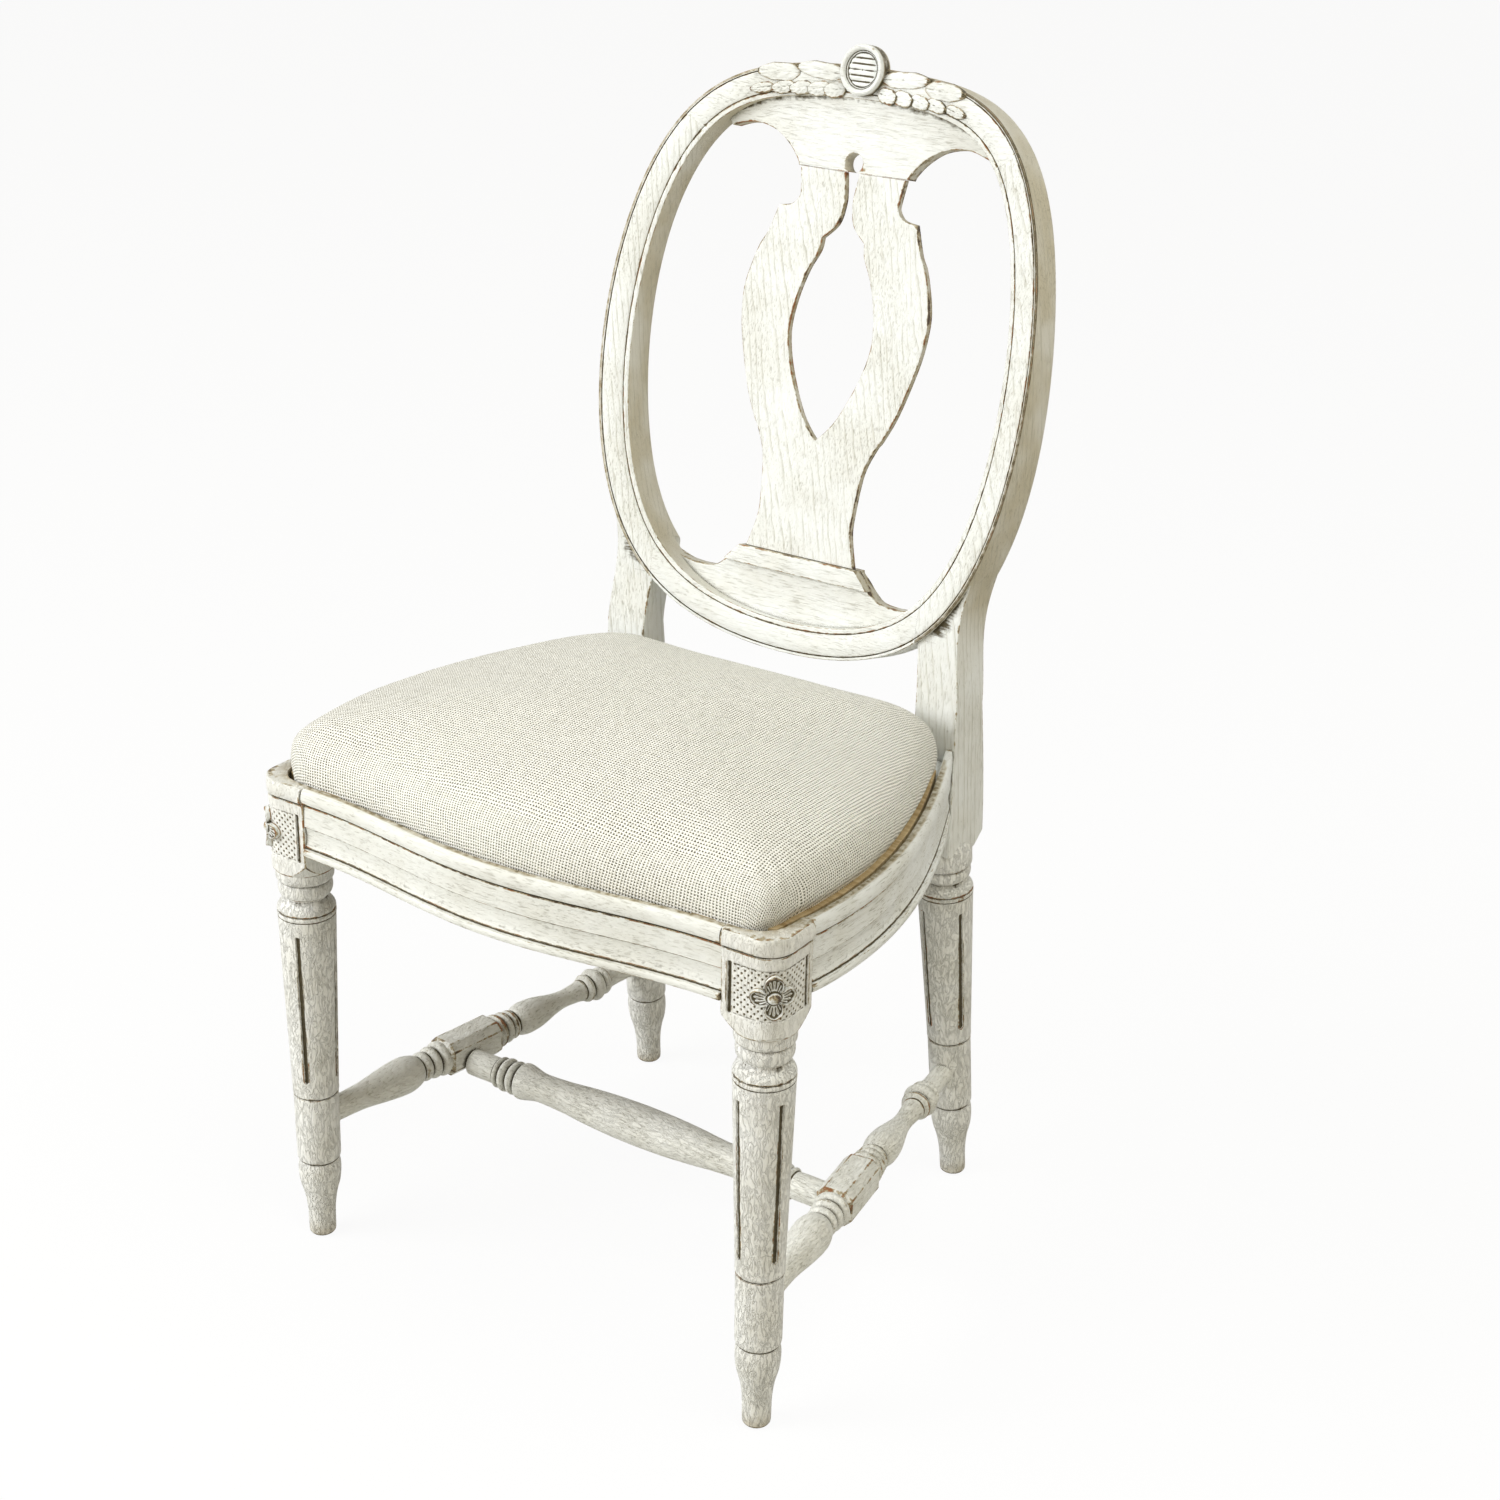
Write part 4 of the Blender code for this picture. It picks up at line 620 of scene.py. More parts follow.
# ---------------------------------------------------------------- lines of the seat frame in plan
plan = {
    "frontBow": 0.0205, "bowHalf": 0.2000, "frontSet": 0.0021, "sideBow": 0.0265, "sidePower": 0.85,
    "sideSet": 0.0040, "rearInset": 0.0020, "stileOuter": 0.1790, "stileFront": 0.3495,
    "cornerFront": 0.0300, "cornerRear": 0.0420, "rearMargin": 0.0045, "clearance": 0.0008,
}
blockInner, blockOuter = leg["x"] - halfBlock, leg["x"] + halfBlock


def frontBead(x):
    part = share(abs(x), 0, plan["bowHalf"])
    return -halfBlock + plan["frontSet"] - rail["bead"] - plan["frontBow"] * (1 + cos(pi * part)) / 2


def sideBead(y):
    part = share(y, halfBlock, plan["stileFront"])
    front = blockOuter - plan["sideSet"] + rail["bead"]
    rear = plan["stileOuter"] + plan["rearInset"]
    return front + (rear - front) * part + plan["sideBow"] * sin(pi * part ** plan["sidePower"])


def sideInner(y):
    part = (y - halfBlock) / (plan["stileFront"] - halfBlock)
    inset = rail["bead"] + rail["thickness"]
    front = blockOuter - plan["sideSet"] + rail["bead"] - inset
    return front + (plan["stileOuter"] + plan["rearInset"] - inset - front) * part


def bent(start, bend, end, steps):
    # a curve from start to end that leans towards the bend
    return [start * (1 - t) ** 2 + bend * 2 * t * (1 - t) + end * t * t for t in np.linspace(0, 1, steps)]


def cornerCurve(before, corner, after, radius, steps):
    return bent(corner + unit(before - corner) * radius, corner, corner + unit(after - corner) * radius, steps)


def seatEdge(count):
    # the seat in plan, in even steps
    rearY = plan["stileFront"] - plan["rearMargin"]
    lip = rail["lip"]
    frontX = sideBead(halfBlock) - lip
    frontCorner = np.array([frontX, frontBead(plan["bowHalf"]) + lip])
    rearCorner = np.array([sideBead(rearY) - lip, rearY])
    half = [np.array([x, frontBead(x) + lip]) for x in np.linspace(0, frontX - plan["cornerFront"], 50)]
    half += cornerCurve(half[-1], frontCorner, np.array([frontX, halfBlock]), plan["cornerFront"], 20)[1:]
    half += [np.array([sideBead(y) - lip, y]) for y in np.linspace(halfBlock, rearY - plan["cornerRear"], 60)]
    half += cornerCurve(half[-1], rearCorner, np.array([0, rearY]), plan["cornerRear"], 20)[1:]
    half.append(np.array([0, rearY]))
    whole = np.array(half + [np.array([-p[0], p[1]]) for p in half[-2:0:-1]] + [half[0]])
    lengths = np.concatenate([[0], np.cumsum(np.linalg.norm(np.diff(whole, axis=0), axis=1))])
    places = np.arange(count) / count * lengths[-1]
    return np.column_stack([np.interp(places, lengths, whole[:, k]) for k in (0, 1)])


def insetLine(line, inset):
    # the line moved inwards, square to itself
    before, after = (way / np.linalg.norm(way, axis=1)[:, None]
                     for way in (line - np.roll(line, 1, axis=0), np.roll(line, -1, axis=0) - line))
    middle = (before + after) / np.linalg.norm(before + after, axis=1)[:, None]
    return line + np.column_stack([-middle[:, 1], middle[:, 0]]) * inset


def level(line, z):
    return np.column_stack([line, np.full(len(line), z)])


def seatWell():
    line = insetLine(seatEdge(360), -plan["clearance"])
    return meshFrom("seat_well", [skin([level(line, rail["ledge"]), level(line, rail["top"] + 0.02)])])


seatLine = seatEdge(720)


def nearest(line, points):
    # index of and distance to the nearest point of a line, for many points
    index, reach = np.zeros(len(points), int), np.zeros(len(points))
    for start in range(0, len(points), 4000):
        part = points[start:start + 4000]
        square = (part[:, :1] - line[:, 0]) ** 2 + (part[:, 1:2] - line[:, 1]) ** 2
        index[start:start + 4000] = np.argmin(square, axis=1)
        reach[start:start + 4000] = np.sqrt(np.min(square, axis=1))
    return index, reach


lipDirt = {"depth": 0.0035, "width": 0.0064, "fade": 0.0010, "tone": 1.25}


def lipGrime(points, normals):
    # the flat lip round the seat holds tan dirt
    dirt = np.zeros(len(points))
    flatTop = np.nonzero((points[:, 2] > rail["top"] - lipDirt["depth"]) & (normals[:, 2] > 0.5))[0]
    off = nearest(seatLine, points[flatTop, :2])[1]
    dirt[flatTop] = np.clip((lipDirt["width"] - off) / lipDirt["fade"], 0, 1) * lipDirt["tone"]
    return dirt


planPoints, _, planPlaces, planEnd = blockPlan()


def blockGrime(points, normals):
    # the lip's dirt, and glaze in the punched dots
    dirt = lipGrime(points, normals)
    rows = np.nonzero(inDotRows(points[:, 2]))[0]
    near = nearest(planPoints + (leg["x"], 0), np.column_stack([np.abs(points[rows, 0]), points[rows, 1]]))[0]
    place = np.array([9.0 if p is None else p for p in planPlaces])[near]
    dots = 1.9 * np.clip((1.25 - dotDistance(place, points[rows, 2]) / block["dotWidth"] * 2) * 4, 0, 1)
    dots[np.abs(place) > planEnd + block["innerCorner"] - block["grooveInset"] - block["dotMargin"]] = 0
    dirt[rows] = np.maximum(dirt[rows], dots)
    return dirt


def toeGrime(points, normals):
    # dirt that fades out 16 mm above the floor
    return np.clip(1 - points[:, 2] / 0.016, 0, 1) * 0.8


blockPiece = meshFrom("block_right", [skin(blockRings())])
joinBy(blockPiece, seatWell(), "DIFFERENCE")
dressPair(blockPiece, blockPaint, "front_leg", grime=blockGrime)
dressPair(meshFrom("front_leg_turning_right", [skin(frontTurning)]), turnedPaint, "front_leg", grime=toeGrime)
print("front legs and blocks ready")

# ---------------------------------------------------------------- front and side rails
# projection as a share of the bead and height as a share of the rail
railRuns = [
    [(0.55, 0.000), (0.95, 0.012), (1.12, 0.045), (1.05, 0.080), (0.75, 0.104)],
    [(0.00, 0.112), (0.00, 0.122)],
    [(0.12, 0.140), (-0.10, 0.180), (-0.26, 0.240), (-0.28, 0.330), (-0.12, 0.400), (0.00, 0.430)],
    [(0.26, 0.436), (0.27, 0.446)],
    [(0.22, 0.560), (0.12, 0.680), (0.05, 0.745)],
    [(-0.48, 0.752), (-0.42, 0.770)],
    [(0.50, 0.786), (0.90, 0.812), (1.02, 0.860), (0.98, 0.910), (0.78, 0.958), (0.45, 0.988), (0.08, 1.000)],
]
railSection = moulding(railRuns)


def rebate(wall, inner, way):
    # place across a rail and height: its lip, the wall and ledge that the seat rests in, and its inner face
    top, ledgeZ = rail["top"], rail["ledge"]
    return [*((wall - way * off, top) for off in rail["lipRows"]), (wall, top - rail["arris"]), (wall, ledgeZ),
            (inner, ledgeZ), (inner, rail["bottom"])]


def frontRailRings():
    end = blockInner - gap
    rings = []
    for x in np.linspace(-end, end, 150):
        face = frontBead(x) + rail["bead"]
        wall = frontBead(x) + rail["lip"] - plan["clearance"]
        inner = -halfBlock + plan["frontSet"] + rail["thickness"]
        ring = [(x, face - out * rail["bead"], rail["bottom"] + up * rail["height"]) for out, up in railSection]
        rings.append(ring + [(x, y, z) for y, z in rebate(wall, inner, 1)])
    return rings


def sideRailRings():
    rings = []
    rearY = plan["stileFront"] - gap
    for y in np.linspace(halfBlock + gap, rearY, 130):
        face = sideBead(y) - rail["bead"]
        fade = min((rearY - y) / (2 * rail["thickness"]), 1) ** 0.5
        wall = sideBead(y) - rail["lip"] + plan["clearance"]
        inner = min(sideInner(y), wall - rail["thinnest"])
        ring = [(face + out * rail["bead"] * (fade if out > 0 else 1), y, rail["bottom"] + up * rail["height"])
                for out, up in railSection]
        rings.append(ring + [(x, y, z) for x, z in rebate(wall, inner, -1)])
    return rings


dress(meshFrom("front_rail_moulded", [skin(frontRailRings())]), railPaint, ["front_rail"], grime=lipGrime)
dressPair(meshFrom("side_rail_moulded_right", [skin(sideRailRings())]), sidePaint, "side_rail", grime=lipGrime,
          wide=0.0011)
print("rails ready")

# ---------------------------------------------------------------- the oval back
back = {
    "halfWidth": 0.2064, "halfHeight": 0.2613, "centreY": 0.4142, "rake": radians(13.0), "planRadius": 0.7280,
    "ringWidth": 0.0267, "ringThickness": 0.0295, "turnShare": 0.40, "lowerJointX": 0.1345,
    "crestJoint": radians(38), "flareDepth": 0.0395, "thinAngle": radians(20),
    "squareX": 0.0082, "leanX": 0.0277, "squareS": 0.0672, "leanS": 0.0547, "calm": 0.0014,
}
back["centreZ"] = rail["top"] + 0.0449 + back["halfHeight"] * cos(back["rake"])
# section of the oval from its outer edge inwards: place across the face, depth behind the face
ringRuns = [
    [(0.00, 0.90), (0.00, 0.50), (0.00, 0.09)], [(0.00, 0.04)], [(0.008, 0.012), (0.030, 0.00)],
    [(0.050, 0.00), (0.092, 0.00)],
    [(0.098, 0.035), (0.109, 0.062), (0.120, 0.035)],
    [(0.128, 0.004), (0.180, -0.022), (0.330, -0.046), (0.470, -0.052), (0.610, -0.046), (0.760, -0.022),
     (0.812, 0.004)],
    [(0.820, 0.035), (0.831, 0.062), (0.842, 0.035)], [(0.848, 0.00), (0.968, 0.00)],
    [(0.992, 0.012), (1.00, 0.04)], [(1.00, 0.50), (1.00, 0.90)], [(0.97, 0.97), (0.90, 1.00)],
    [(0.50, 1.00), (0.10, 1.00)], [(0.03, 0.97)],
]
ringSection = moulding(ringRuns)
grooveShare, bandShare = 0.109, 0.50
jointGap = 0.00005  # the joints of the oval are tight and painted over


def ovalLine(t):
    # the squared and leaning ellipse that everything in the back follows
    x = back["halfWidth"] * (cos(t) - back["squareX"] * cos(3 * t) - back["leanX"] * sin(2 * t))
    s = back["halfHeight"] * (sin(t) + back["squareS"] * sin(3 * t) + back["leanS"] * cos(2 * t))
    return np.array([x, s])


def ovalPoint(t, across):
    # a point beside that line, by its share of the moulding's width
    tangent = unit(ovalLine(t + 0.001) - ovalLine(t - 0.001))
    return ovalLine(t) + np.array([tangent[1], -tangent[0]]) * (grooveShare - across) * back["ringWidth"]


def backPoint(x, s, depth):
    # a point by place across, height along the rake and depth behind the hollow face
    splay = back["turnShare"] * x / back["planRadius"] * depth
    y = back["centreY"] + s * sin(back["rake"]) - x * x / (2 * back["planRadius"]) + depth * cos(back["rake"])
    return np.array([x + splay, y, back["centreZ"] + s * cos(back["rake"]) - depth * sin(back["rake"])])


def solve(test, low, high):
    # where a rising test crosses nothing
    for _ in range(34):
        middle = (low + high) / 2
        if test(middle) < 0:
            low = middle
        else:
            high = middle
    return (low + high) / 2


lowTurns = radians(-85), radians(-5)  # the lower right of the oval, where its joint is searched
flareAngle = (solve(lambda t: ovalPoint(t, bandShare)[0] - back["lowerJointX"], *lowTurns) + radians(-2)) / 2
apexAngle = solve(lambda t: ovalPoint(t, 0)[0] - back["lowerJointX"], *lowTurns)


def plainDepth(t):
    return back["ringThickness"]


def postDepth(t):
    # the oval grows deeper towards the stile
    rise = smoothShare(t, flareAngle, back["thinAngle"])
    return back["flareDepth"] + (back["ringThickness"] - back["flareDepth"]) * rise


def sectionPoint(t, across, depth, depthAt):
    x, s = ovalPoint(t, across)
    return backPoint(x, s, depth * (depthAt(t) if depth > 0.5 else back["ringThickness"]))


def ringRings(starts, ends, count, depthAt=plainDepth):
    # one angle range for each point of the section, so that an end can lie in any plane
    rings = []
    for k in range(count):
        part = k / (count - 1)
        rings.append([sectionPoint(a + (b - a) * part, across, depth, depthAt)
                      for (across, depth), a, b in zip(ringSection, starts, ends)])
    return rings


def jointAngles(x, depthAt):
    return [solve(lambda t: sectionPoint(t, across, depth, depthAt)[0] - x, *lowTurns)
            for across, depth in ringSection]


def bandX(z):
    # how far out the middle of the moulding is at a height
    t = solve(lambda t: backPoint(*ovalPoint(t, bandShare), 0)[2] - z, radians(-70), 0)
    return ovalPoint(t, bandShare)[0]


stile = {
    "bottom": 0.3360, "inner": 0.1395, "outer": 0.1790, "depth": 0.0480, "heel": 0.0110, "cove": 0.0530,
    "waist": 0.0075, "neck": 0.0375, "turn": radians(6.5), "chamfer": 0.0015,
}


def stileRings():
    # the square stile, which widens into the side of the oval
    flare = ovalPoint(flareAngle, grooveShare)
    apexZ = backPoint(*ovalPoint(apexAngle, 0), 0)[2]
    straightTop = apexZ - stile["cove"]
    top = backPoint(*ovalPoint(flareAngle, bandShare), 0)[2]
    heelTop = stile["bottom"] + stile["heel"]
    levels = [stile["bottom"], *np.linspace(heelTop, straightTop, 30), *np.linspace(straightTop, apexZ, 26)[1:],
              *np.linspace(apexZ, top, 36)[1:]]
    joint = back["lowerJointX"] + jointGap

    def frontY(x, z):
        meeting = backPoint(x, ovalPoint(flareAngle, bandShare)[1], 0)[1]
        return plan["stileFront"] + (meeting - plan["stileFront"]) * share(z, straightTop, top) ** 1.2

    rings = []
    for z in levels:
        inner = stile["inner"] + (joint - stile["inner"]) * share(z, straightTop, apexZ) ** 1.7
        if z > apexZ:
            inner = max(joint, bandX(z))
        rise = share(z, straightTop, top)
        outer = stile["outer"] + (flare[0] - stile["outer"]) * rise ** 2.4 - stile["waist"] * sin(pi * rise) ** 2
        inner = min(inner, outer - stile["chamfer"] * 3)
        heel = stile["depth"] - (stile["heel"] if z == stile["bottom"] else 0)
        depth = heel + (stile["neck"] - stile["depth"]) * share(z, heelTop, straightTop) ** 1.5
        depth += (back["flareDepth"] - depth) * smoothShare(z, straightTop, top)
        splay = sin(stile["turn"]) * depth
        corners = [(inner, frontY(inner, z), z), (outer, frontY(outer, z), z),
                   (outer + splay, frontY(outer, z) + depth, z), (inner + splay, frontY(inner, z) + depth, z)]
        rings.append(softCorners(corners, stile["chamfer"]))
    return rings


def proud(points):
    # how far points stand in front of the oval's face
    face = back["centreY"] - points[:, 0] ** 2 / (2 * back["planRadius"])
    return (face - points[:, 1]) * cos(back["rake"]) + (points[:, 2] - back["centreZ"]) * sin(back["rake"])


def upRake(points):
    # how far points stand up the rake from the oval's centre
    setBack = points[:, 1] - back["centreY"] + points[:, 0] ** 2 / (2 * back["planRadius"])
    return setBack * sin(back["rake"]) + (points[:, 2] - back["centreZ"]) * cos(back["rake"])


def ringCalm(points):
    # 1 at the painted-over joints of the oval
    s = upRake(points)
    first, second = ovalPoint(back["crestJoint"], 0), ovalPoint(back["crestJoint"], 1)
    along = unit(second - first)
    off = np.abs((np.abs(points[:, 0]) - first[0]) * along[1] - (s - first[1]) * along[0])
    off = np.where(s > 0, off, np.abs(np.abs(points[:, 0]) - back["lowerJointX"]))
    return off < back["calm"]


outerLine = np.array([ovalPoint(t, 0.012) for t in np.linspace(-pi, pi, 900)])


# how deep and how wide the dark rub is, its tone and what the right side and the shoulder add to it
ringRub = {"depth": 0.0030, "front": 0.0004, "width": 0.0020, "fade": 0.0005, "tone": 1.22, "right": 0.22,
           "shoulder": 0.34, "shoulderAt": 0.16, "shoulderReach": 0.09}


def ringWear(points, normals):
    # the outer arris is rubbed dark, mostly on the right and over the shoulder
    s, depth = upRake(points), -proud(points)
    off = np.full(len(points), 1.0)
    rows = np.flatnonzero(depth < ringRub["depth"])
    off[rows] = np.hypot(nearest(outerLine, np.column_stack([points[rows, 0], s[rows]]))[1],
                         np.maximum(depth[rows] - ringRub["front"], 0))
    right = np.clip(points[:, 0] / 0.06 - 0.6, 0, 1)
    shoulder = np.exp(-((s - ringRub["shoulderAt"]) / ringRub["shoulderReach"]) ** 2)
    rub = np.clip((ringRub["width"] - off) / ringRub["fade"], 0, 1)
    rub *= ringRub["tone"] + right * (ringRub["right"] + ringRub["shoulder"] * shoulder)
    return rub * (s > -0.9 * back["halfHeight"])


postEnd = jointAngles(back["lowerJointX"] + jointGap, postDepth)
crestAngle, count = back["crestJoint"], len(ringSection)
postArc = meshFrom("rear_post_arc_right", [skin(ringRings(postEnd, [crestAngle] * count, 110, postDepth))])
joinBy(postArc, meshFrom("stile", [skin(stileRings())]), "UNION")
backPlane = (0, -cos(back["rake"]), sin(back["rake"]))
dressPair(postArc, uprightPaint, "rear_post", plane=backPlane, grime=ringWear, wide=0.0013, calm=ringCalm)
dressPair(meshFrom("rear_leg_turning_right", [skin(rearTurning)]), turnedPaint, "rear_post", grime=toeGrime)
print("rear posts ready")

# splat, webs and shoe lie in one flat plane behind the oval's face
flat = {
    "splatThickness": 0.0066, "webThickness": 0.0140, "topSet": 0.0030, "lowSet": 0.0085,
    "hole": 0.0084, "holeRise": 0.90, "shoeOut": 0.0045,
    "upper": [(0.247, 0.560), (0.233, 0.487), (0.235, 0.462), (0.265, 0.437), (0.325, 0.428)],
    "lower": [(0.325, 0.428), (0.363, 0.338), (0.397, 0.287), (0.436, 0.180), (0.441, 0.102), (0.422, -0.004),
              (0.363, -0.165), (0.310, -0.259), (0.284, -0.292), (0.242, -0.377), (0.226, -0.507),
              (0.228, -0.582), (0.262, -0.684)],
    "slit": [(0.034, 0.560), (0.022, 0.500), (0.020, 0.456), (0.039, 0.393), (0.099, 0.344)],
    "opening": [(0.099, 0.344), (0.107, 0.302), (0.150, 0.232), (0.184, 0.141), (0.199, 0.043), (0.179, -0.047),
                (0.136, -0.138), (0.087, -0.216), (0.044, -0.263), (0.000, -0.299)],
    "web": [(0.257, 0.560), (0.268, 0.578), (0.310, 0.617), (0.378, 0.656), (0.460, 0.674), (0.533, 0.672),
            (0.600, 0.655)],
    "shoe": [(0.284, -0.691), (0.320, -0.716), (0.352, -0.742), (0.398, -0.770), (0.460, -0.778),
             (0.540, -0.775), (0.600, -0.762), (0.660, -0.745)],
    "fillet": -0.742, "coveWidth": 0.0105, "coveTurn": radians(45), "coveFade": radians(16),
}
topS, footS = 0.560 * back["halfHeight"], -0.684 * back["halfHeight"]


def flatPoint(x, s, depth):
    # the same for the flat pieces, by depth behind their own face
    setBack = flat["lowSet"] + (flat["topSet"] - flat["lowSet"]) * (s - footS) / (topS - footS)
    return backPoint(0, s, setBack + depth) + np.array([x, 0, 0])


def scaledLine(shares, steps=7):
    return smoothLine([(x * back["halfWidth"], s * back["halfHeight"]) for x, s in shares], steps)


def easedLine(outline, inset):
    # the outline moved inwards, but less and less towards a sharp corner, where it would cross itself
    before, after = np.roll(outline, 1, axis=0) - outline, np.roll(outline, -1, axis=0) - outline
    corner = np.sum(before * after, axis=1) / (np.linalg.norm(before, axis=1) * np.linalg.norm(after, axis=1))
    kept = np.ones(len(outline))
    for k in np.flatnonzero(corner > 0.5):
        away = np.linalg.norm(outline - outline[k], axis=1)
        kept = np.minimum(kept, np.clip(away / (5 * max(inset, 1e-6)), 0.05, 1))
    return outline + (insetLine(outline, inset) - outline) * kept[:, None]


def plate(outline, front, rear, ease=0.0007, step=0.0045):
    # a plate from an outline in x and height along the rake, with eased arrises and evenly meshed faces
    outline = np.array(outline)
    area = np.sum(outline[:, 0] * np.roll(outline[:, 1], -1) - np.roll(outline[:, 0], -1) * outline[:, 1])
    if area < 0:
        outline = outline[::-1]
    rings = []
    for inset, depth in ((ease, front), (ease * 0.3, front + ease * 0.3), (0, front + ease),
                         (0, (front + rear) / 2), (0, rear - ease), (ease * 0.3, rear - ease * 0.3), (ease, rear)):
        rings.append([flatPoint(x, s, depth) for x, s in easedLine(outline, inset)])
    points, faces = skin(rings)
    faces = faces[:-2]
    count = len(outline)
    border = easedLine(outline, ease)
    low, high = border.min(axis=0), border.max(axis=0)
    inside = []
    for s in np.arange(low[1] + step / 2, high[1], step):
        for x in np.arange(-step * int(-low[0] / step), high[0], step):
            if np.min(np.sum((border - (x, s)) ** 2, axis=1)) > (step * 0.35) ** 2:
                inside.append((x, s))
    near = easedLine(outline, ease * 2.6)
    spaced = [tuple(q) for q in near if np.min(np.sum((border - q) ** 2, axis=1)) > (ease * 1.45) ** 2]
    flatPoints = [Vector(q) for q in [tuple(q) for q in border] + spaced + inside]
    found, _, triangles, _, _, _ = delaunay_2d_cdt(flatPoints, [], [list(range(count))], 1, 1e-7)
    for depth in (front, rear):
        start = len(points)
        points += [tuple(flatPoint(q[0], q[1], depth)) for q in found]
        faces += [tuple(start + i for i in face) for face in triangles]
    return points, faces


def mirroredLine(half):
    # a closed outline from its right half; points on the middle line aren't doubled
    left = [(-x, s) for x, s in reversed([tuple(p) for p in half]) if abs(x) > 1e-6]
    return [tuple(p) for p in half] + left


def splatOutline():
    right = list(scaledLine(flat["lower"])[::-1]) + list(scaledLine(flat["upper"])[::-1][1:])
    right[0][1], right[-1][1] = footS + gap, topS - gap
    inside = list(scaledLine(flat["slit"])) + list(scaledLine(flat["opening"])[1:])
    inside[0][1] = topS - gap
    return mirroredLine(right + inside)


def webOutline():
    edge = scaledLine(flat["web"])
    band = [ovalPoint(t, bandShare) for t in np.linspace(radians(44), pi / 2, 40)]
    radius, rise = flat["hole"], flat["holeRise"]
    hole = [(radius * cos(angle), topS + radius * (rise + sin(angle)))
            for angle in np.linspace(-np.arcsin(rise), pi / 2, 22)]
    # from the top of the hole, down it, out along the web's edge and back along the oval
    return mirroredLine(hole[::-1] + list(edge) + band)


def shoeOutline():
    edge = scaledLine(flat["shoe"])
    edge[0][1] = footS
    band = [ovalPoint(t, bandShare) for t in np.linspace(radians(-52), -pi / 2, 30)]
    return mirroredLine([(0.0, footS)] + list(edge) + band)


splat = meshFrom("splat_pierced", [plate(splatOutline(), 0, flat["splatThickness"])])
dress(splat, uprightPaint, ["back_splat"], plane=backPlane, wide=0.0009)


def coveRings():
    # a hollow that runs from the oval's inner edge down to the web
    rings = []
    for t in np.linspace(radians(46), radians(134), 90):
        width = flat["coveWidth"] * min(1, (min(t, pi - t) - flat["coveTurn"]) / flat["coveFade"])
        edge, foot = ovalPoint(t, 0.975), ovalPoint(t, 0.985 + width / back["ringWidth"])
        start, end = backPoint(*edge, 0.0006), flatPoint(*foot, -0.0002)
        bend = flatPoint(*(edge * 0.96 + foot * 0.04), -0.0002)
        rings.append(bent(start, bend, end, 9) + [flatPoint(*foot, 0.003), flatPoint(*edge, 0.003)])
    return rings


crestStart = crestAngle + jointGap / back["halfWidth"]
crest = meshFrom("crest_arc", [
    skin(coveRings()),
    skin(ringRings([crestStart] * count, [pi - crestStart] * count, 150)),
    plate(webOutline(), 0, flat["webThickness"]),
])


leafGlaze = {"end": 0.106, "endFade": 0.012, "from": 0.80, "slope": 0.12, "fade": 0.004, "tone": 1.3}


def crestGrime(points, normals):
    # glaze lies between the leaves, on the front of the moulding
    side = np.abs(points[:, 0])
    reach = np.clip((leafGlaze["end"] - side) / leafGlaze["endFade"], 0, 1)
    high = points[:, 2] - back["centreZ"] - back["halfHeight"] * leafGlaze["from"] - leafGlaze["slope"] * side
    between = reach * np.clip(high / leafGlaze["fade"], 0, 1) * (normals[:, 1] < -0.4) * leafGlaze["tone"]
    return np.maximum(between, ringWear(points, normals))


dress(crest, crossPaint, ["crest_rail"], plane=backPlane, grime=crestGrime, wide=0.0011, calm=ringCalm)

lowerEnd = jointAngles(back["lowerJointX"] - jointGap, plainDepth)
topX, lowX = (flat["shoe"][k][0] * back["halfWidth"] for k in (0, 2))
filletS = flat["fillet"] * back["halfHeight"]
shoeLedge = [(lowX, filletS), (-lowX, filletS), (-topX, footS), (topX, footS)]
lowerRail = meshFrom("lower_back_arc", [
    skin(ringRings([-pi - t for t in lowerEnd], lowerEnd, 130)),
    plate(shoeOutline(), 0, flat["webThickness"]),
    plate(shoeLedge, -flat["shoeOut"], flat["webThickness"] / 2, 0.0006),
])
dress(lowerRail, crossPaint, ["lower_back_rail"], plane=backPlane, wide=0.0011, calm=ringCalm)
print("oval back ready")

# ---------------------------------------------------------------- ornament
ornament = {
    "halfWidth": 0.0203, "halfHeight": 0.0208, "relief": 0.0092, "drop": 0.0006,
    "fieldShare": 0.68, "fieldRelief": 0.42, "fieldSwell": 0.0012, "reeds": 6, "reedRise": 0.0013,
    # scale of the oval and relief towards the viewer, from the wall inwards
    "rim": [[(1.00, -0.54), (1.00, 0.30), (1.00, 0.70)], [(0.99, 0.84), (0.96, 0.95), (0.91, 1.00), (0.85, 0.97),
            (0.80, 0.88), (0.77, 0.72)], [(0.755, 0.62), (0.745, 0.62)], [(0.72, 0.66), (0.70, 0.60), (0.68, 0.42)]],
    "rosette": 0.0186, "rosetteRelief": 0.0042, "rosetteFoot": 0.0006, "dome": 0.0050,
    "petalLip": (0.90, 0.055),  # where the lip of a petal lies and how wide it is, as shares of the rosette
    # reach of a petal by degrees from its middle
    "petal": ([0, 5, 12, 20, 27, 33, 39, 45], [1.0, 0.975, 0.93, 0.86, 0.76, 0.64, 0.50, 0.42]),
}


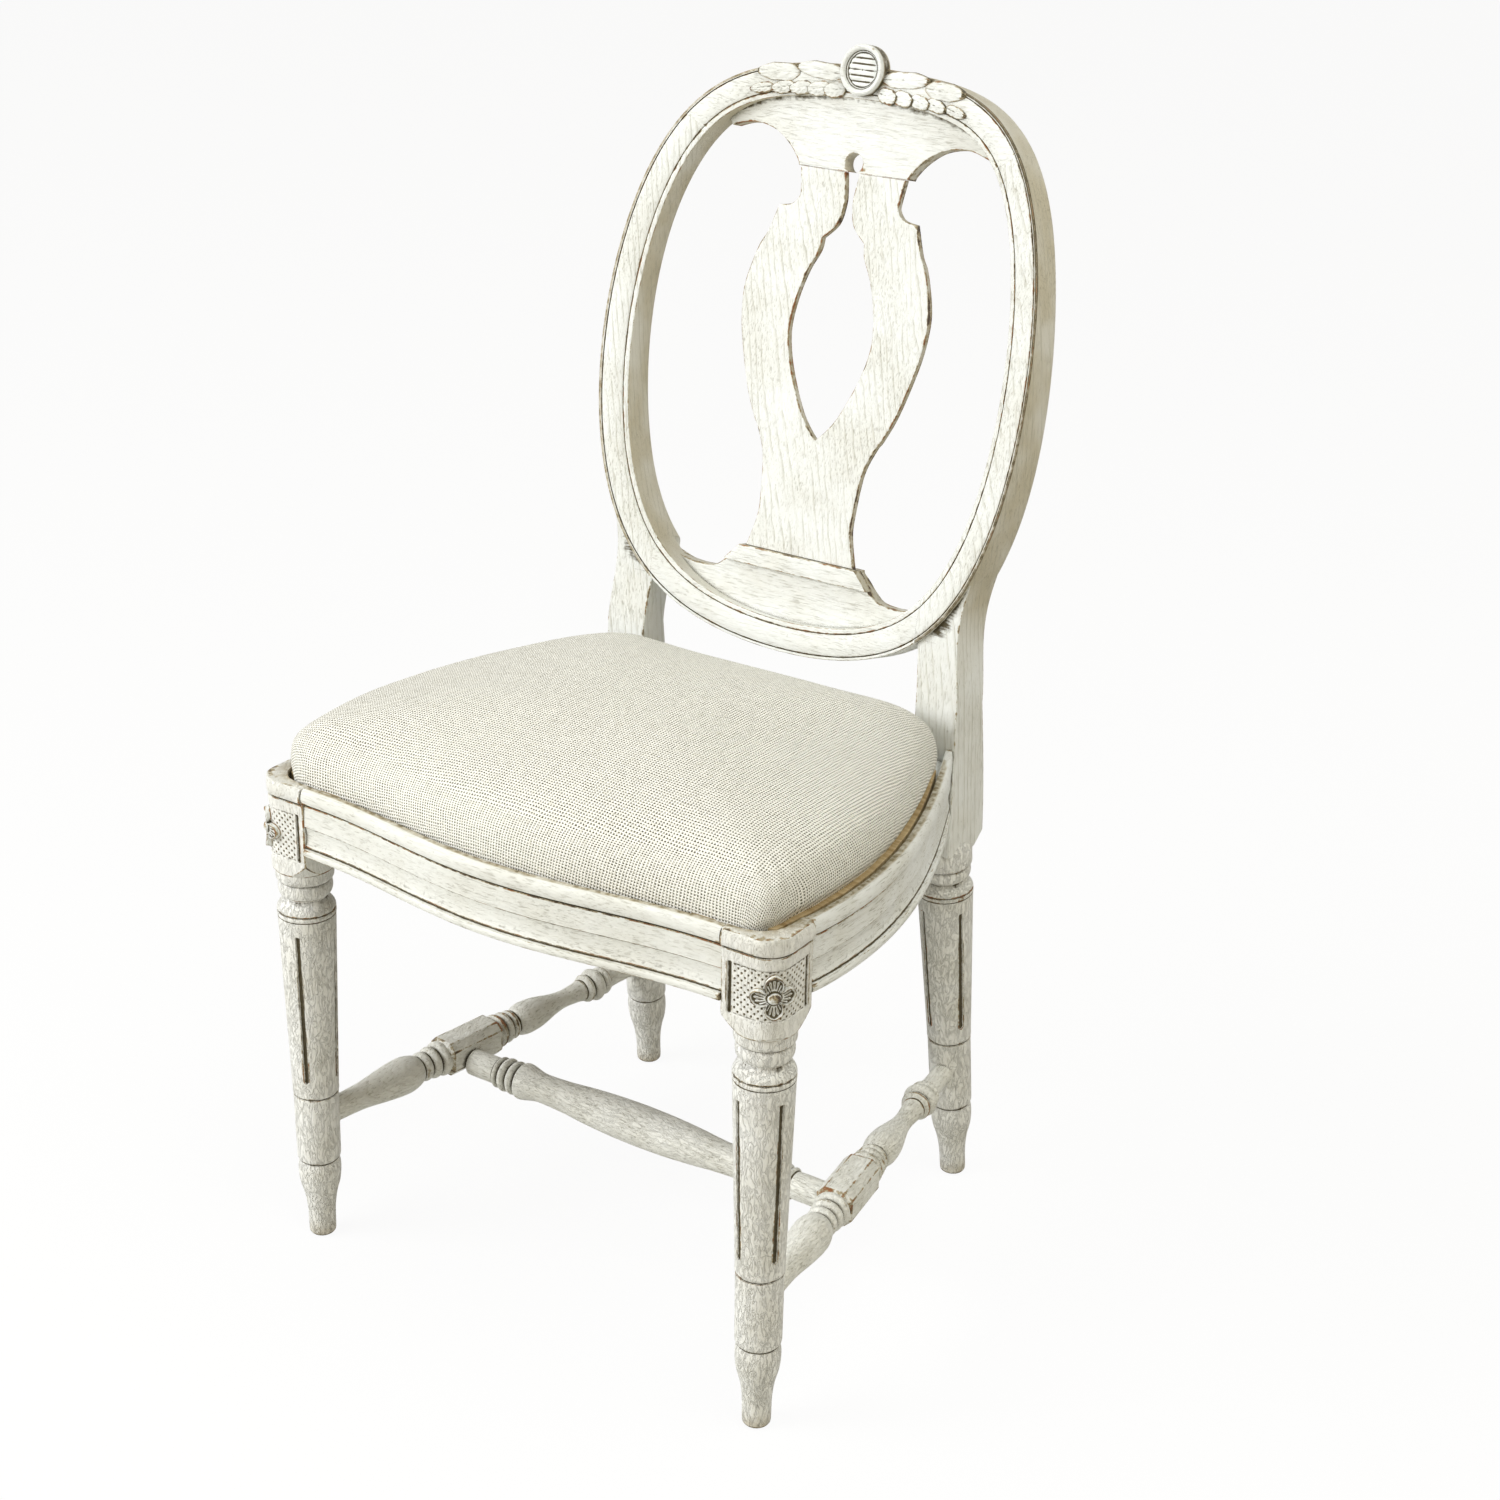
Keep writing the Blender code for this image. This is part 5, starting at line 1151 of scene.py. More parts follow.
def cartoucheRings():
    topOfRing = ovalLine(pi / 2)[1] - ornament["drop"]
    rows = list(moulding(ornament["rim"], 3))
    rows += [(scale, ornament["fieldRelief"]) for scale in np.linspace(ornament["fieldShare"], 0.02, 26)[1:]]
    angles = np.linspace(0, 2 * pi, 97)[:-1]
    rings = []
    for scale, relief in rows:
        x = ornament["halfWidth"] * scale * np.cos(angles)
        s = ornament["halfHeight"] * scale * np.sin(angles)
        out = np.full(len(angles), relief * ornament["relief"])
        if scale < ornament["fieldShare"] - 0.001:
            tall = 2 * ornament["halfHeight"] * ornament["fieldShare"]
            out += ornament["reedRise"] * np.abs(np.cos(pi * (s / tall * ornament["reeds"] + 0.5))) ** 0.6
            out += ornament["fieldSwell"] * (1 - (scale / ornament["fieldShare"]) ** 2)
        rings.append([backPoint(0, topOfRing + b, -c) + np.array([a, 0, 0]) for a, b, c in zip(x, s, out)])
    rings.append([np.mean(rings[-1], axis=0)])
    return rings


cartoucheZ = backPoint(0, ovalLine(pi / 2)[1] - ornament["drop"], 0)[2]
# how far a face turns away to take painted shade, where the rim begins, the two tones and how far from the wall they
# reach
ovalShade = {"turn": 0.75, "gain": 4, "rim": 0.93, "rimTone": 1.5, "groundTone": 0.7, "reach": 0.0060, "fade": 0.0012}


def turnedAway(normals, turn, gain):
    # 1 on faces that turn away from the front of the back
    return np.clip((turn - np.abs(normals @ np.array(backPlane))) * gain, 0, 1)


def cartoucheShade(points, normals):
    # painted shade on its side, and on the ground between the reeds
    reach = np.hypot(points[:, 0] / ornament["halfWidth"], (points[:, 2] - cartoucheZ) / ornament["halfHeight"])
    tone = np.where(reach > ovalShade["rim"], ovalShade["rimTone"], ovalShade["groundTone"])
    low = np.clip((ovalShade["reach"] - proud(points)) / ovalShade["fade"], 0, 1)
    return turnedAway(normals, ovalShade["turn"], ovalShade["gain"]) * tone * low


cartouche = meshFrom("crest_oval_ornament", [skin(cartoucheRings())])
dress(cartouche, crossPaint, ["crest_cartouche"], grime=cartoucheShade,
      calm=lambda points: np.where(points[:, 0] > 0.008, 0.2, 0.7))


def cornerSurface(across):
    # point and normal on the rounded corner of the right block, by distance from its diagonal
    r = block["corner"]
    centre = np.array([halfBlock - r, -halfBlock + r])
    turn = np.clip(across / r, -pi / 4, pi / 4)
    angle = -pi / 4 + turn
    normal = np.array([cos(angle), sin(angle)])
    point = centre + normal * r + np.array([-sin(angle), cos(angle)]) * (across - turn * r)
    return np.array([point[0] + leg["x"], point[1], 0]), np.array([normal[0], normal[1], 0])


def rosetteRings():
    middle = (block["panelLow"] + block["panelHigh"]) / 2
    full, relief, dome = ornament["rosette"], ornament["rosetteRelief"], ornament["dome"]
    angles = np.linspace(0, 2 * pi, 129)[:-1]
    foot = ornament["rosetteFoot"]
    rings = [[cornerSurface(0)[0] + np.array([0, 0, middle]) - cornerSurface(0)[1] * foot]]
    off = np.abs((angles + pi / 4) % (pi / 2) - pi / 4)
    edge = np.interp(np.degrees(off), *ornament["petal"])

    def ringAt(scale, lift):
        ring = []
        for angle, reach, up in zip(angles, edge * full * scale, lift):
            point, normal = cornerSurface(reach * cos(angle))
            ring.append(point + normal * up + np.array([0, 0, middle + reach * sin(angle)]))
        return ring

    rings += [ringAt(scale, np.full(len(angles), -foot)) for scale in (0.5, 1.0)]
    for scale in np.concatenate([[1.0, 0.985, 0.97], np.linspace(0.945, 0.02, 36)]):
        radius = edge * full * scale
        # a raised lip round each petal, a scoop inside it and fine ribs that run to the middle
        lip = np.exp(-((scale - ornament["petalLip"][0]) / ornament["petalLip"][1]) ** 2)
        ribs = 0.09 * np.cos(off * 26) * smoothShare(scale, 0.35, 0.5) * (1 - smoothShare(scale, 0.78, 0.88))
        lift = (0.26 + 0.66 * lip + ribs) * relief * min(1, (1.0 - scale) * 16 + 0.10)
        swell = np.clip(1 - (radius / dome) ** 2, 0, 1)
        lift = np.where(swell > 0, relief * (0.10 + 1.05 * np.sqrt(swell)), lift)
        rings.append(ringAt(scale, lift))
    rings.append([np.mean(rings[-1], axis=0)])
    return rings


dressPair(meshFrom("petal_rosette_right", [skin(rosetteRings())]), uprightPaint, "rosette")


# laurel leaves: one leaf, set on guide points along the face of the crest by Geometry Nodes
leaves = {
    # place along the crest, place across its face, length and width as shares of the leaf, turn off the line
    "rows": [
        (0.018, 0.33, 2.35, 1.15, 5), (0.060, 0.32, 2.00, 1.25, 4),
        (0.016, 0.74, 1.00, 1.10, -10), (0.031, 0.74, 1.05, 1.05, -8), (0.048, 0.73, 1.05, 0.95, -7),
        (0.064, 0.70, 1.10, 0.90, -5), (0.084, 0.66, 1.10, 0.75, 0),
    ],
    # tipShadow is the painted shadow under each tip; footGlaze and sideShade (painted shade) say how far up the leaf
    # they reach
    "lift": 0.0002, "length": 0.0200, "width": 0.0062, "rise": 0.0046, "root": 0.0030, "tipShare": 0.945,
    "tipShadow": 2.8, "footGlaze": 0.0023, "footFade": 0.0008, "sideShade": 0.0046, "sideFade": 0.0010,
}


def leafUnit():
    # a swelling leaf that rises to a blunt, undercut tip, with a sunk midrib and fine veins
    length, width, rise = leaves["length"], leaves["width"], leaves["rise"]
    rings = []
    for u in np.concatenate([np.linspace(0, 0.88, 16), [0.92, 0.95, 0.975, 0.99, 1.0]]):
        half = width * min(1, (0.1 + u / 0.22) ** 0.6, max((1 - u) / 0.34, 0.012) ** 0.55)
        tall = rise * (0.42 + 0.58 * u) * min(1, max(1 - u, 0.002) / 0.045) ** 0.5
        ring = []
        for v in np.linspace(-1, 1, 17):
            form = (1 - 0.30 * abs(v) ** 2.4) * min(1, (1 - abs(v)) / 0.10) ** 0.5
            vein = 0.26 * (np.cos(abs(v) * 9 - u * 26) * abs(v) * (1 - abs(v)) * 2
                           - np.exp(-(v / 0.10) ** 2) * (1 - u))
            ring.append((u * length, v * half, tall * max(form + vein * form, 0) + 0.0001))
        ring += [(u * length, v * half * 0.92, -leaves["root"]) for v in (1, 0, -1)]
        rings.append(ring)
    item = meshFrom("leaf_unit", [skin(rings)])
    # the points of the tip, which take a painted shadow
    tip = item.data.attributes.new("tip", "FLOAT", "POINT")
    tip.data.foreach_set("value", [float(v.co.x > length * leaves["tipShare"] and v.co.z > -0.001)
                                   for v in item.data.vertices])
    item.data.transform(Matrix.Translation((0, -shiftY, 0)))
    item.data.shade_smooth()
    return item


def repeatTree(name):
    tree = bpy.data.node_groups.new(name, "GeometryNodeTree")
    tree.interface.new_socket("Geometry", in_out="OUTPUT", socket_type="NodeSocketGeometry")
    for key, kind in (("Geometry", "Geometry"), ("Unit", "Object"), ("Size", "Float"), ("Finish", "Material")):
        tree.interface.new_socket(key, in_out="INPUT", socket_type="NodeSocket" + kind)
    add = partial(addNode, tree)
    given = add("NodeGroupInput").outputs
    unitMesh = add("GeometryNodeObjectInfo", {"Object": given["Unit"]}, "Geometry")
    turn, grow = (add("GeometryNodeInputNamedAttribute", {"Name": key}, 0, data_type="FLOAT_VECTOR")
                  for key in ("turn", "grow"))
    size = add("VectorMath", {0: grow, "Scale": given["Size"]}, "Vector", operation="SCALE")
    copies = add("GeometryNodeInstanceOnPoints",
                 {"Points": given["Geometry"], "Instance": unitMesh,
                  "Rotation": add("FunctionNodeEulerToRotation", (turn,), 0), "Scale": size}, "Instances")
    real = add("GeometryNodeRealizeInstances", {"Geometry": copies}, "Geometry")
    finished = add("GeometryNodeSetMaterial", {"Geometry": real, "Material": given["Finish"]}, "Geometry")
    add("NodeGroupOutput", {"Geometry": finished})
    return tree


def repeated(name, tree, unitItem, places, size, material):
    # places are rows of (point, euler turn, growth); the result is one plain mesh
    mesh = bpy.data.meshes.new(name)
    mesh.from_pydata([(p[0], p[1] + shiftY, p[2]) for p, turn, grow in places], [], [])
    for key, index in (("turn", 1), ("grow", 2)):
        layer = mesh.attributes.new(key, "FLOAT_VECTOR", "POINT")
        layer.data.foreach_set("vector", np.array([row[index] for row in places], np.float32).ravel())
    item = placed(name, mesh)
    modifier = item.modifiers.new("repeat", "NODES")
    modifier.node_group = tree
    values = {"Unit": unitItem, "Size": size, "Finish": material}
    for socket in tree.interface.items_tree:
        if socket.item_type == "SOCKET" and socket.in_out == "INPUT" and socket.name in values:
            modifier[socket.identifier] = values[socket.name]
    return applied(item, modifier)


def leafPlaces():
    rows = []
    for along, across, length, width, off in leaves["rows"]:
        t = solve(lambda t: -ovalPoint(t, bandShare)[0] + along, radians(40), pi / 2)
        x, s = ovalPoint(t, across)
        ahead = ovalPoint(t - 0.01, across)
        here = backPoint(x, s, -leaves["lift"])
        forward = unit(backPoint(*ahead, -leaves["lift"]) - here)
        face = backPoint(x, s, 0)
        normal = unit(np.cross(backPoint(x, s + 0.001, 0) - face, backPoint(x + 0.001, s, 0) - face))
        if normal[1] > 0:
            normal = -normal
        normal = unit(normal - forward * np.dot(normal, forward))
        side = np.cross(normal, forward)
        for way in (1, -1):  # the right half, and its mirror image
            flip = (way, 1, 1)
            axes = Matrix(np.column_stack([forward * flip, side * flip * way, normal * flip]).tolist())
            turned = Matrix.Rotation(way * radians(off), 3, Vector(normal * flip)) @ axes
            rows.append((here * flip, tuple(turned.to_euler()), (length, width, 1.0)))
    return rows


def leafGlazeAndShade(points, normals):
    # dark glaze at the foot of each leaf, and painted shade on its sides, most on the faces towards its tip
    low = np.clip((leaves["footGlaze"] - proud(points)) / leaves["footFade"], 0, 2)
    away = np.clip(normals[:, 0] * np.sign(points[:, 0]) * 2.2, 0.45, 1)
    side = np.clip((leaves["sideShade"] - proud(points)) / leaves["sideFade"], 0, 1)
    return np.maximum(low, turnedAway(normals, 0.80, 5) * away * 2.0 * side)


unitLeaf = leafUnit()
leafPiece = repeated("laurel_leaves", repeatTree("leaves_on_points"), unitLeaf, leafPlaces(), 1.0, crossPaint)
bpy.data.objects.remove(unitLeaf)
tipShadows = readRows(leafPiece.data.attributes["tip"].data, "value", 1)
# each leaf's tip takes a painted shadow as well
dress(leafPiece, crossPaint, ["crest_rail"],
      grime=lambda points, normals: np.maximum(leafGlazeAndShade(points, normals), tipShadows * leaves["tipShadow"]))
print("ornament ready")

# ---------------------------------------------------------------- stretchers
stretcher = {
    "height": 0.1137, "radius": 0.0165, "blockWidth": 0.0320, "chamfer": 0.0065, "blockShare": 0.428,
    "blockLength": 0.0660, "crossRadius": 0.0180, "crossDrop": 0.0070, "crossForward": 0.0100, "columns": 56,
    # place along it from the front leg's axis, radius as a share; runs meet at quirks
    "frontRuns": [
        [(0.030, 0.655), (0.085, 0.660), (0.130, 0.720), (0.180, 0.880), (0.220, 0.985), (0.248, 0.985), (0.270, 0.860),
         (0.281, 0.700)],
        [(0.284, 0.600)], [(0.287, 0.740), (0.293, 0.810), (0.300, 0.790), (0.304, 0.720)],
        [(0.307, 0.610)], [(0.310, 0.780), (0.317, 0.880), (0.324, 0.860), (0.328, 0.760)],
        [(0.331, 0.640)], [(0.334, 0.840), (0.341, 0.960), (0.348, 0.950)], [(0.362, 0.740)],
    ],
    "rearRuns": [
        [(0.505, 0.740), (0.515, 0.930), (0.522, 0.900)], [(0.526, 0.620)],
        [(0.530, 0.790), (0.537, 0.880), (0.544, 0.840)], [(0.548, 0.610)],
        [(0.552, 0.760), (0.558, 0.820), (0.564, 0.760)], [(0.568, 0.620), (0.574, 0.760)],
        [(0.588, 0.870), (0.606, 0.915), (0.640, 0.850), (0.690, 0.590), (0.725, 0.490), (0.765, 0.550),
         (0.782, 0.620)],
        [(0.786, 0.560)], [(0.790, 0.700), (0.797, 0.800), (0.804, 0.740)], [(0.808, 0.600)],
        [(0.812, 0.800), (0.823, 0.930), (0.834, 0.830)], [(0.838, 0.620)],
        [(0.842, 0.740), (0.850, 0.800), (0.858, 0.730)],
        [(0.862, 0.600), (0.880, 0.570), (0.900, 0.540), (0.965, 0.530)],
    ],
    # right half of the cross stretcher, from its middle outwards
    "crossRuns": [
        [(0.000, 1.000), (0.150, 0.970), (0.300, 0.880), (0.420, 0.770), (0.546, 0.710), (0.600, 0.740),
         (0.650, 0.860), (0.680, 0.910), (0.694, 0.890)],
        [(0.704, 0.700), (0.712, 0.570)], [(0.718, 0.740), (0.730, 0.840), (0.744, 0.800), (0.752, 0.720)],
        [(0.760, 0.570)], [(0.767, 0.740), (0.779, 0.840), (0.793, 0.800), (0.800, 0.720)],
        [(0.808, 0.570)], [(0.815, 0.720), (0.824, 0.780), (0.833, 0.720)],
        [(0.840, 0.630), (0.860, 0.655), (0.990, 0.655)],
    ],
}


def rearAxis(z):
    part = z / rearTop[2]
    return np.array([rearFoot[k] + (rearTop[k] - rearFoot[k]) * part for k in (0, 1)] + [z])


def latheRings(rows, start, along, step=0.002):
    # rows are (distance along the axis, radius), filled in to the step given
    along = np.array(along)
    first = unit(np.cross(along, [0, 0, 1.0]))
    second = np.cross(along, first)
    dense = [rows[0]]
    for a, b in zip(rows, rows[1:]):
        pieces = max(int(abs(b[0] - a[0]) / step), 1)
        dense += [a + (b - a) * k / pieces for k in range(1, pieces + 1)]
    angles = np.linspace(0, 2 * pi, stretcher["columns"] + 1)[:-1]
    return [np.array(start) + along * z + r * (np.outer(np.cos(angles), first) + np.outer(np.sin(angles), second))
            for z, r in dense]


sideFront, sideRear = np.array([leg["x"], 0, stretcher["height"]]), rearAxis(stretcher["height"])
sideLength = np.linalg.norm(sideRear - sideFront)
sideAlong = (sideRear - sideFront) / sideLength
sideMiddle = sideFront + (sideRear - sideFront) * stretcher["blockShare"]


def stretcherBlockRings():
    across = unit(np.array([sideAlong[1], -sideAlong[0], 0]))
    up = np.cross(across, sideAlong)
    up = up if up[2] > 0 else -up
    half, cut = stretcher["blockWidth"] / 2, stretcher["chamfer"]
    rings = []
    reach = stretcher["blockLength"] / 2
    ends = [(reach, 0.58), (reach, 0.70), (reach - 0.0004, 0.735), (reach - cut * 0.75, 0.985),
            (reach - cut * 0.85, 1.0), (reach - cut, 1.0)]
    flatPart = half - cut
    corners = [(flatPart, -half), (half, -flatPart), (half, flatPart), (flatPart, half), (-flatPart, half),
               (-half, flatPart), (-half, -flatPart), (-flatPart, -half)]
    for place, scale in [(-p, k) for p, k in ends] + [(0, 1.0)] + ends[::-1]:
        section = softCorners([np.array([u, v]) * scale for u, v in corners], 0.0007)
        rings.append([sideMiddle + sideAlong * place + across * u + up * v for u, v in section])
    return rings


frontPart, rearPart = (
    skin(latheRings(moulding(stretcher[key]) * (sideLength, stretcher["radius"]), sideFront, sideAlong))
    for key in ("frontRuns", "rearRuns"))
dressPair(meshFrom("side_stretcher_turning_right", [frontPart, skin(stretcherBlockRings()), rearPart]), spindleSide,
          "side_stretcher")

crossY = sideMiddle[1] - stretcher["crossForward"]
crossZ = stretcher["height"] - stretcher["crossDrop"]
crossHalf = (sideMiddle[0] - stretcher["crossForward"] * sideAlong[0] / sideAlong[1]
             - stretcher["blockWidth"] / 2 / abs(sideAlong[1]))
half = moulding(stretcher["crossRuns"]) * (crossHalf, stretcher["crossRadius"])
crossRows = np.vstack([half[::-1] * (-1, 1), half[1:]])
crossStretcher = meshFrom("cross_stretcher_turning", [skin(latheRings(crossRows, (0, crossY, crossZ), (1, 0, 0)))])
dress(crossStretcher, spindleAcross, ["cross_stretcher"], calm=lambda points: 0.45)
print("stretchers ready")

# ---------------------------------------------------------------- linen seat
seat = {
    "wall": 0.0290, "shoulder": 0.0150, "crown": 0.0285, "belly": 0.0010, "bottom": rail["ledge"] + 0.0012,
    "tuck": 0.0062, "sideBelly": 0.0045,
    "voxel": 0.0050, "pressure": 3.0, "cap": 0.004, "shrink": 0.0012, "softness": 0.0012, "easing": 26,
    "foot": 0.004, "easeFrom": 0.006, "easeOver": 0.016, "tuckRise": 0.024, "bellyRise": 0.044,
    "steps": 20, "sideways": 0.35, "puckerAt": (0.232, -0.004), "puckerReach": 0.030, "pucker": 0.0012,
    "puckerWaves": 420,
}
seatCentre = np.array([0, (frontBead(0) + plan["stileFront"]) / 2])


def seatRings(shrink):
    # along its sides the pad's foot stands in from the edge of the board, and the pad swells out over it
    edge = seatEdge(180)
    inward = insetLine(edge, 1.0) - edge
    sides = (np.clip(np.abs(inward[:, 0]) * 1.5 - 0.4, 0, 1)
             * np.clip((plan["stileFront"] - 0.020 - edge[:, 1]) / 0.06, 0, 1))
    wallTop = rail["top"] + seat["wall"]
    shoulderTop = wallTop + seat["shoulder"] * 0.55

    def at(inset, z, scale=1.0):
        rise = z - rail["top"]
        tuck = (seat["tuck"] * (1 - share(rise, 0, seat["tuckRise"])) ** 1.7
                - seat["sideBelly"] * sin(pi * share(rise, 0, seat["bellyRise"])))
        line = insetLine(edge, (inset + shrink + tuck * sides)[:, None])
        return level(seatCentre + (line - seatCentre) * scale, z)

    rings = [[(seatCentre[0], seatCentre[1], seat["bottom"])]]
    rings += [at(0.014, seat["bottom"], scale) for scale in (0.3, 0.6, 0.9)]
    rings += [at(0.003, seat["bottom"]), at(0.0006, seat["bottom"] + 0.0012), at(0, seat["bottom"] + 0.004),
              at(0, rail["top"])]
    for part in np.linspace(0.15, 1, 8):
        rings.append(at(-seat["belly"] * sin(pi * part * 0.75), rail["top"] + seat["wall"] * part))
    for part in np.linspace(0, pi / 2, 7)[1:]:
        rings.append(at(seat["shoulder"] * (1 - cos(part)) - seat["belly"] * 0.5 * cos(part),
                        wallTop + seat["shoulder"] * 0.55 * sin(part)))
    for scale in np.linspace(0.97, 0.04, 28):
        rings.append(at(seat["shoulder"], shoulderTop + seat["crown"] * (1 - scale ** 2.2), scale))
    rings.append([(seatCentre[0], seatCentre[1], shoulderTop + seat["crown"])])
    return rings


# waves along x and y, with their start and weight
lumps = ((21, 13, 0.6, 1.0), (-17, 27, 2.1, 1.0), (43, 9, 4.0, 0.7), (11, -49, 1.3, 0.6))


def softLumps(x, y):
    # slow dents and swells of a stuffed seat that has been sat on, -1 to 1
    return sum(weight * sin(x * a + y * b + start) for a, b, start, weight in lumps) / sum(row[3] for row in lumps)


def puffSeat(item):
    # the pad swells under pressure; its foot, which the frame holds, is pinned
    item.data.remesh_voxel_size = seat["voxel"]
    bpy.context.view_layer.objects.active = item
    bpy.ops.object.voxel_remesh()
    start = np.array([v.co for v in item.data.vertices])
    pinned = item.vertex_groups.new(name="held")
    top = rail["top"] + seat["foot"]
    pinned.add([i for i, p in enumerate(start) if p[2] < top], 1.0, "REPLACE")
    cloth = item.modifiers.new("cloth", "CLOTH")
    cloth.settings.vertex_group_mass = "held"
    cloth.settings.use_pressure = True
    cloth.settings.uniform_pressure_force = seat["pressure"]
    cloth.settings.effector_weights.gravity = 0
    cloth.settings.quality = 5
    for number in range(1, seat["steps"] + 1):
        bpy.context.scene.frame_set(number)
    mesh = applied(item, cloth).data
    moved = np.array([v.co for v in mesh.vertices]) - start
    length = np.linalg.norm(moved, axis=1)
    moved *= (np.minimum(length, seat["cap"]) / np.maximum(length, 1e-9))[:, None]
    moved[:, :2] *= seat["sideways"]  # taut cloth hardly leaves the frame's line
    mesh.vertices.foreach_set("co", easeTop(mesh, start + moved).ravel())
    item.vertex_groups.clear()
    bpy.context.scene.frame_set(1)


def easeTop(mesh, points):
    # many small averaging steps take every crease out of the pad above its foot
    ends = readRows(mesh.edges, "vertices", 2, int).T
    free = np.clip((points[:, 2] - rail["top"] - seat["easeFrom"]) / seat["easeOver"], 0, 1)[:, None]
    for _ in range(seat["easing"]):
        total, weight = gather(ends, points, points * 0, np.zeros(len(points)))
        points = points + (total / weight[:, None] - points) * free * 0.8
    return points


def shapeSeat(item):
    # soft dents on top and small puckers at the corners, with the foot left where it is
    for vertex in item.data.vertices:
        x, y, z = vertex.co.x, vertex.co.y - shiftY, vertex.co.z
        free = share(z, rail["top"] + 0.012, rail["top"] + 0.042)
        vertex.co.z += softLumps(x, y) * seat["softness"] * free
        away = (abs(x) - seat["puckerAt"][0]) ** 2 + (y - seat["puckerAt"][1]) ** 2
        corner = np.exp(-away / seat["puckerReach"] ** 2)
        vertex.co.z += seat["pucker"] * corner * free * sin((abs(x) * 0.7 + y) * seat["puckerWaves"])


def layWeave(item):
    # UV in metres: the top is laid flat and each wall carries on from it
    mesh = item.data
    edge = seatEdge(360)
    inward = insetLine(edge, 1.0) - edge
    shoulder = rail["top"] + seat["wall"] + seat["shoulder"] * 0.5
    uv = np.empty((len(mesh.vertices), 2))
    for k, vertex in enumerate(mesh.vertices):
        here = np.array([vertex.co.x, vertex.co.y - shiftY])
        near = np.argmin(np.sum((edge - here) ** 2, axis=1))
        uv[k] = here - inward[near] * max(shoulder - vertex.co.z, 0)
    layer = mesh.uv_layers.new(name="weave")
    index = readRows(mesh.loops, "vertex_index", 1, int)
    layer.data.foreach_set("uv", uv[index].astype(np.float32).ravel())


# real threads are about 0.7 mm apart, drawn at 2.6 mm so that the weave shows
# gap is painted shade between the threads
linenLook = {"thread": "#FFFFF9", "gap": "#4A4732", "slub": "#C9C6B2", "spacing": 0.0026}


def linen(name, look):
    # undyed plain-weave linen: matt, with crossing threads, uneven slubs, painted shade in the gaps between threads and
    # a little soft sheen
    material, tree, shader = newMaterial(name)
    add = partial(addNode, tree)
    laid = add("UVMap", (), "UV", uv_map="weave")
    wobble = add("TexNoise", {"Vector": laid, "Scale": 90.0, "Detail": 3.0}, "Color")
    shifted = add("VectorMath", (wobble, (0.0022, 0.0022, 0.0)), "Vector", operation="MULTIPLY")
    cloth = add("VectorMath", (laid, shifted), "Vector", operation="ADD")
    bands = [add("TexWave", {"Vector": cloth, "Scale": 0.314 / look["spacing"]}, "Fac",
                 bands_direction=direction) for direction in ("X", "Y")]
    lanes = []
    for stretch in ((1.0, 0.16, 1.0), (0.16, 1.0, 1.0)):
        lane = add("Mapping", {"Vector": laid, "Scale": stretch}, "Vector")
        lanes.append(add("TexNoise", {"Vector": lane, "Scale": 620.0, "Detail": 2.0}, "Fac"))
    threads, knots, slub, thin = (add("Math", pair, 0, operation=operation) for pair, operation in
                                  ((bands, "MAXIMUM"), (bands, "MULTIPLY"), (lanes, "MAXIMUM"), (lanes, "MINIMUM")))
    full, uneven = (add("Math", (part, 0.70), 0, operation="MULTIPLY") for part in (threads, thin))
    fill = add("Math", (full, uneven), 0, operation="ADD")
    slubShare = add("Math", (add("MapRange", (slub, 0.58, 0.76), 0), 0.55), 0, operation="MULTIPLY")
    # the gaps between the threads start dark: painted shade
    colour = linear(look["gap"])
    for amount, tone in ((add("MapRange", (fill, 0.52, 0.80), 0), "thread"), (slubShare, "slub")):
        colour = add("Mix", {0: amount, 6: colour, 7: linear(look[tone])}, 2, data_type="RGBA")
    tree.links.new(colour, shader.inputs["Base Color"])
    raised = add("Math", (threads, knots), 0, operation="ADD")
    height = add("Math", (raised, slub), 0, operation="ADD")
    bump = add("Bump", {"Height": height, "Strength": 0.55, "Distance": 0.0009}, "Normal")
    tree.links.new(bump, shader.inputs["Normal"])
    shader.inputs["Roughness"].default_value = 0.92
    shader.inputs["Sheen Weight"].default_value = 0.12
    return material


seatPad = meshFrom("linen_seat_pad", [skin(seatRings(seat["shrink"]))])
puffSeat(seatPad)
shapeSeat(seatPad)
layWeave(seatPad)
finer = seatPad.modifiers.new("finer", "SUBSURF")
finer.levels = finer.render_levels = 1
applied(seatPad, finer)
seatPad.data.materials.clear()
seatPad.data.materials.append(linen("plain_weave_linen", linenLook))
seatPad.data.shade_smooth()
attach(seatPad, "seat")
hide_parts("seat_cover", "seat_foam")
print("seat ready")

# ---------------------------------------------------------------- plain parts that stay as the frame has them
hiddenLook = {
    # light and dark of each material, and the width and length of its grain
    "sawn_oak": ("#C9A87C", "#8E6B43", 0.0020, 0.060),
    "birch_plywood": ("#C9B58C", "#9C8156", 0.0040, 0.050),
    "black_dust_cloth": ("#22211F", "#3A3834", 0.0012, 0.0012),
}


def plainWood(name, light, dark, width, length):
    # unpainted wood off the saw: dull, with straight grain and no polish
    material, tree, shader = newMaterial(name)
    add = partial(addNode, tree)
    along = add("Mapping", {"Vector": add("TexCoord", (), "Object"), "Scale": (width / length, 1.0, 1.0)}, "Vector")
    grain = add("TexNoise", {"Vector": along, "Scale": 1 / width, "Detail": 5.0, "Distortion": 0.4}, "Fac")
    colour = add("Mix", {0: add("MapRange", (grain, 0.35, 0.70), 0),
                                   6: linear(light), 7: linear(dark)}, 2, data_type="RGBA")
    tree.links.new(colour, shader.inputs["Base Color"])
    bump = add("Bump", {"Height": grain, "Strength": 0.4, "Distance": 0.0004}, "Normal")
    tree.links.new(bump, shader.inputs["Normal"])
    shader.inputs["Roughness"].default_value = 0.78
    return material


def keepNode(node, material):
    # one of the frame's own nodes, left in place with a better material
    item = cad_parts[node]
    item.data.materials.clear()
    item.data.materials.append(material)


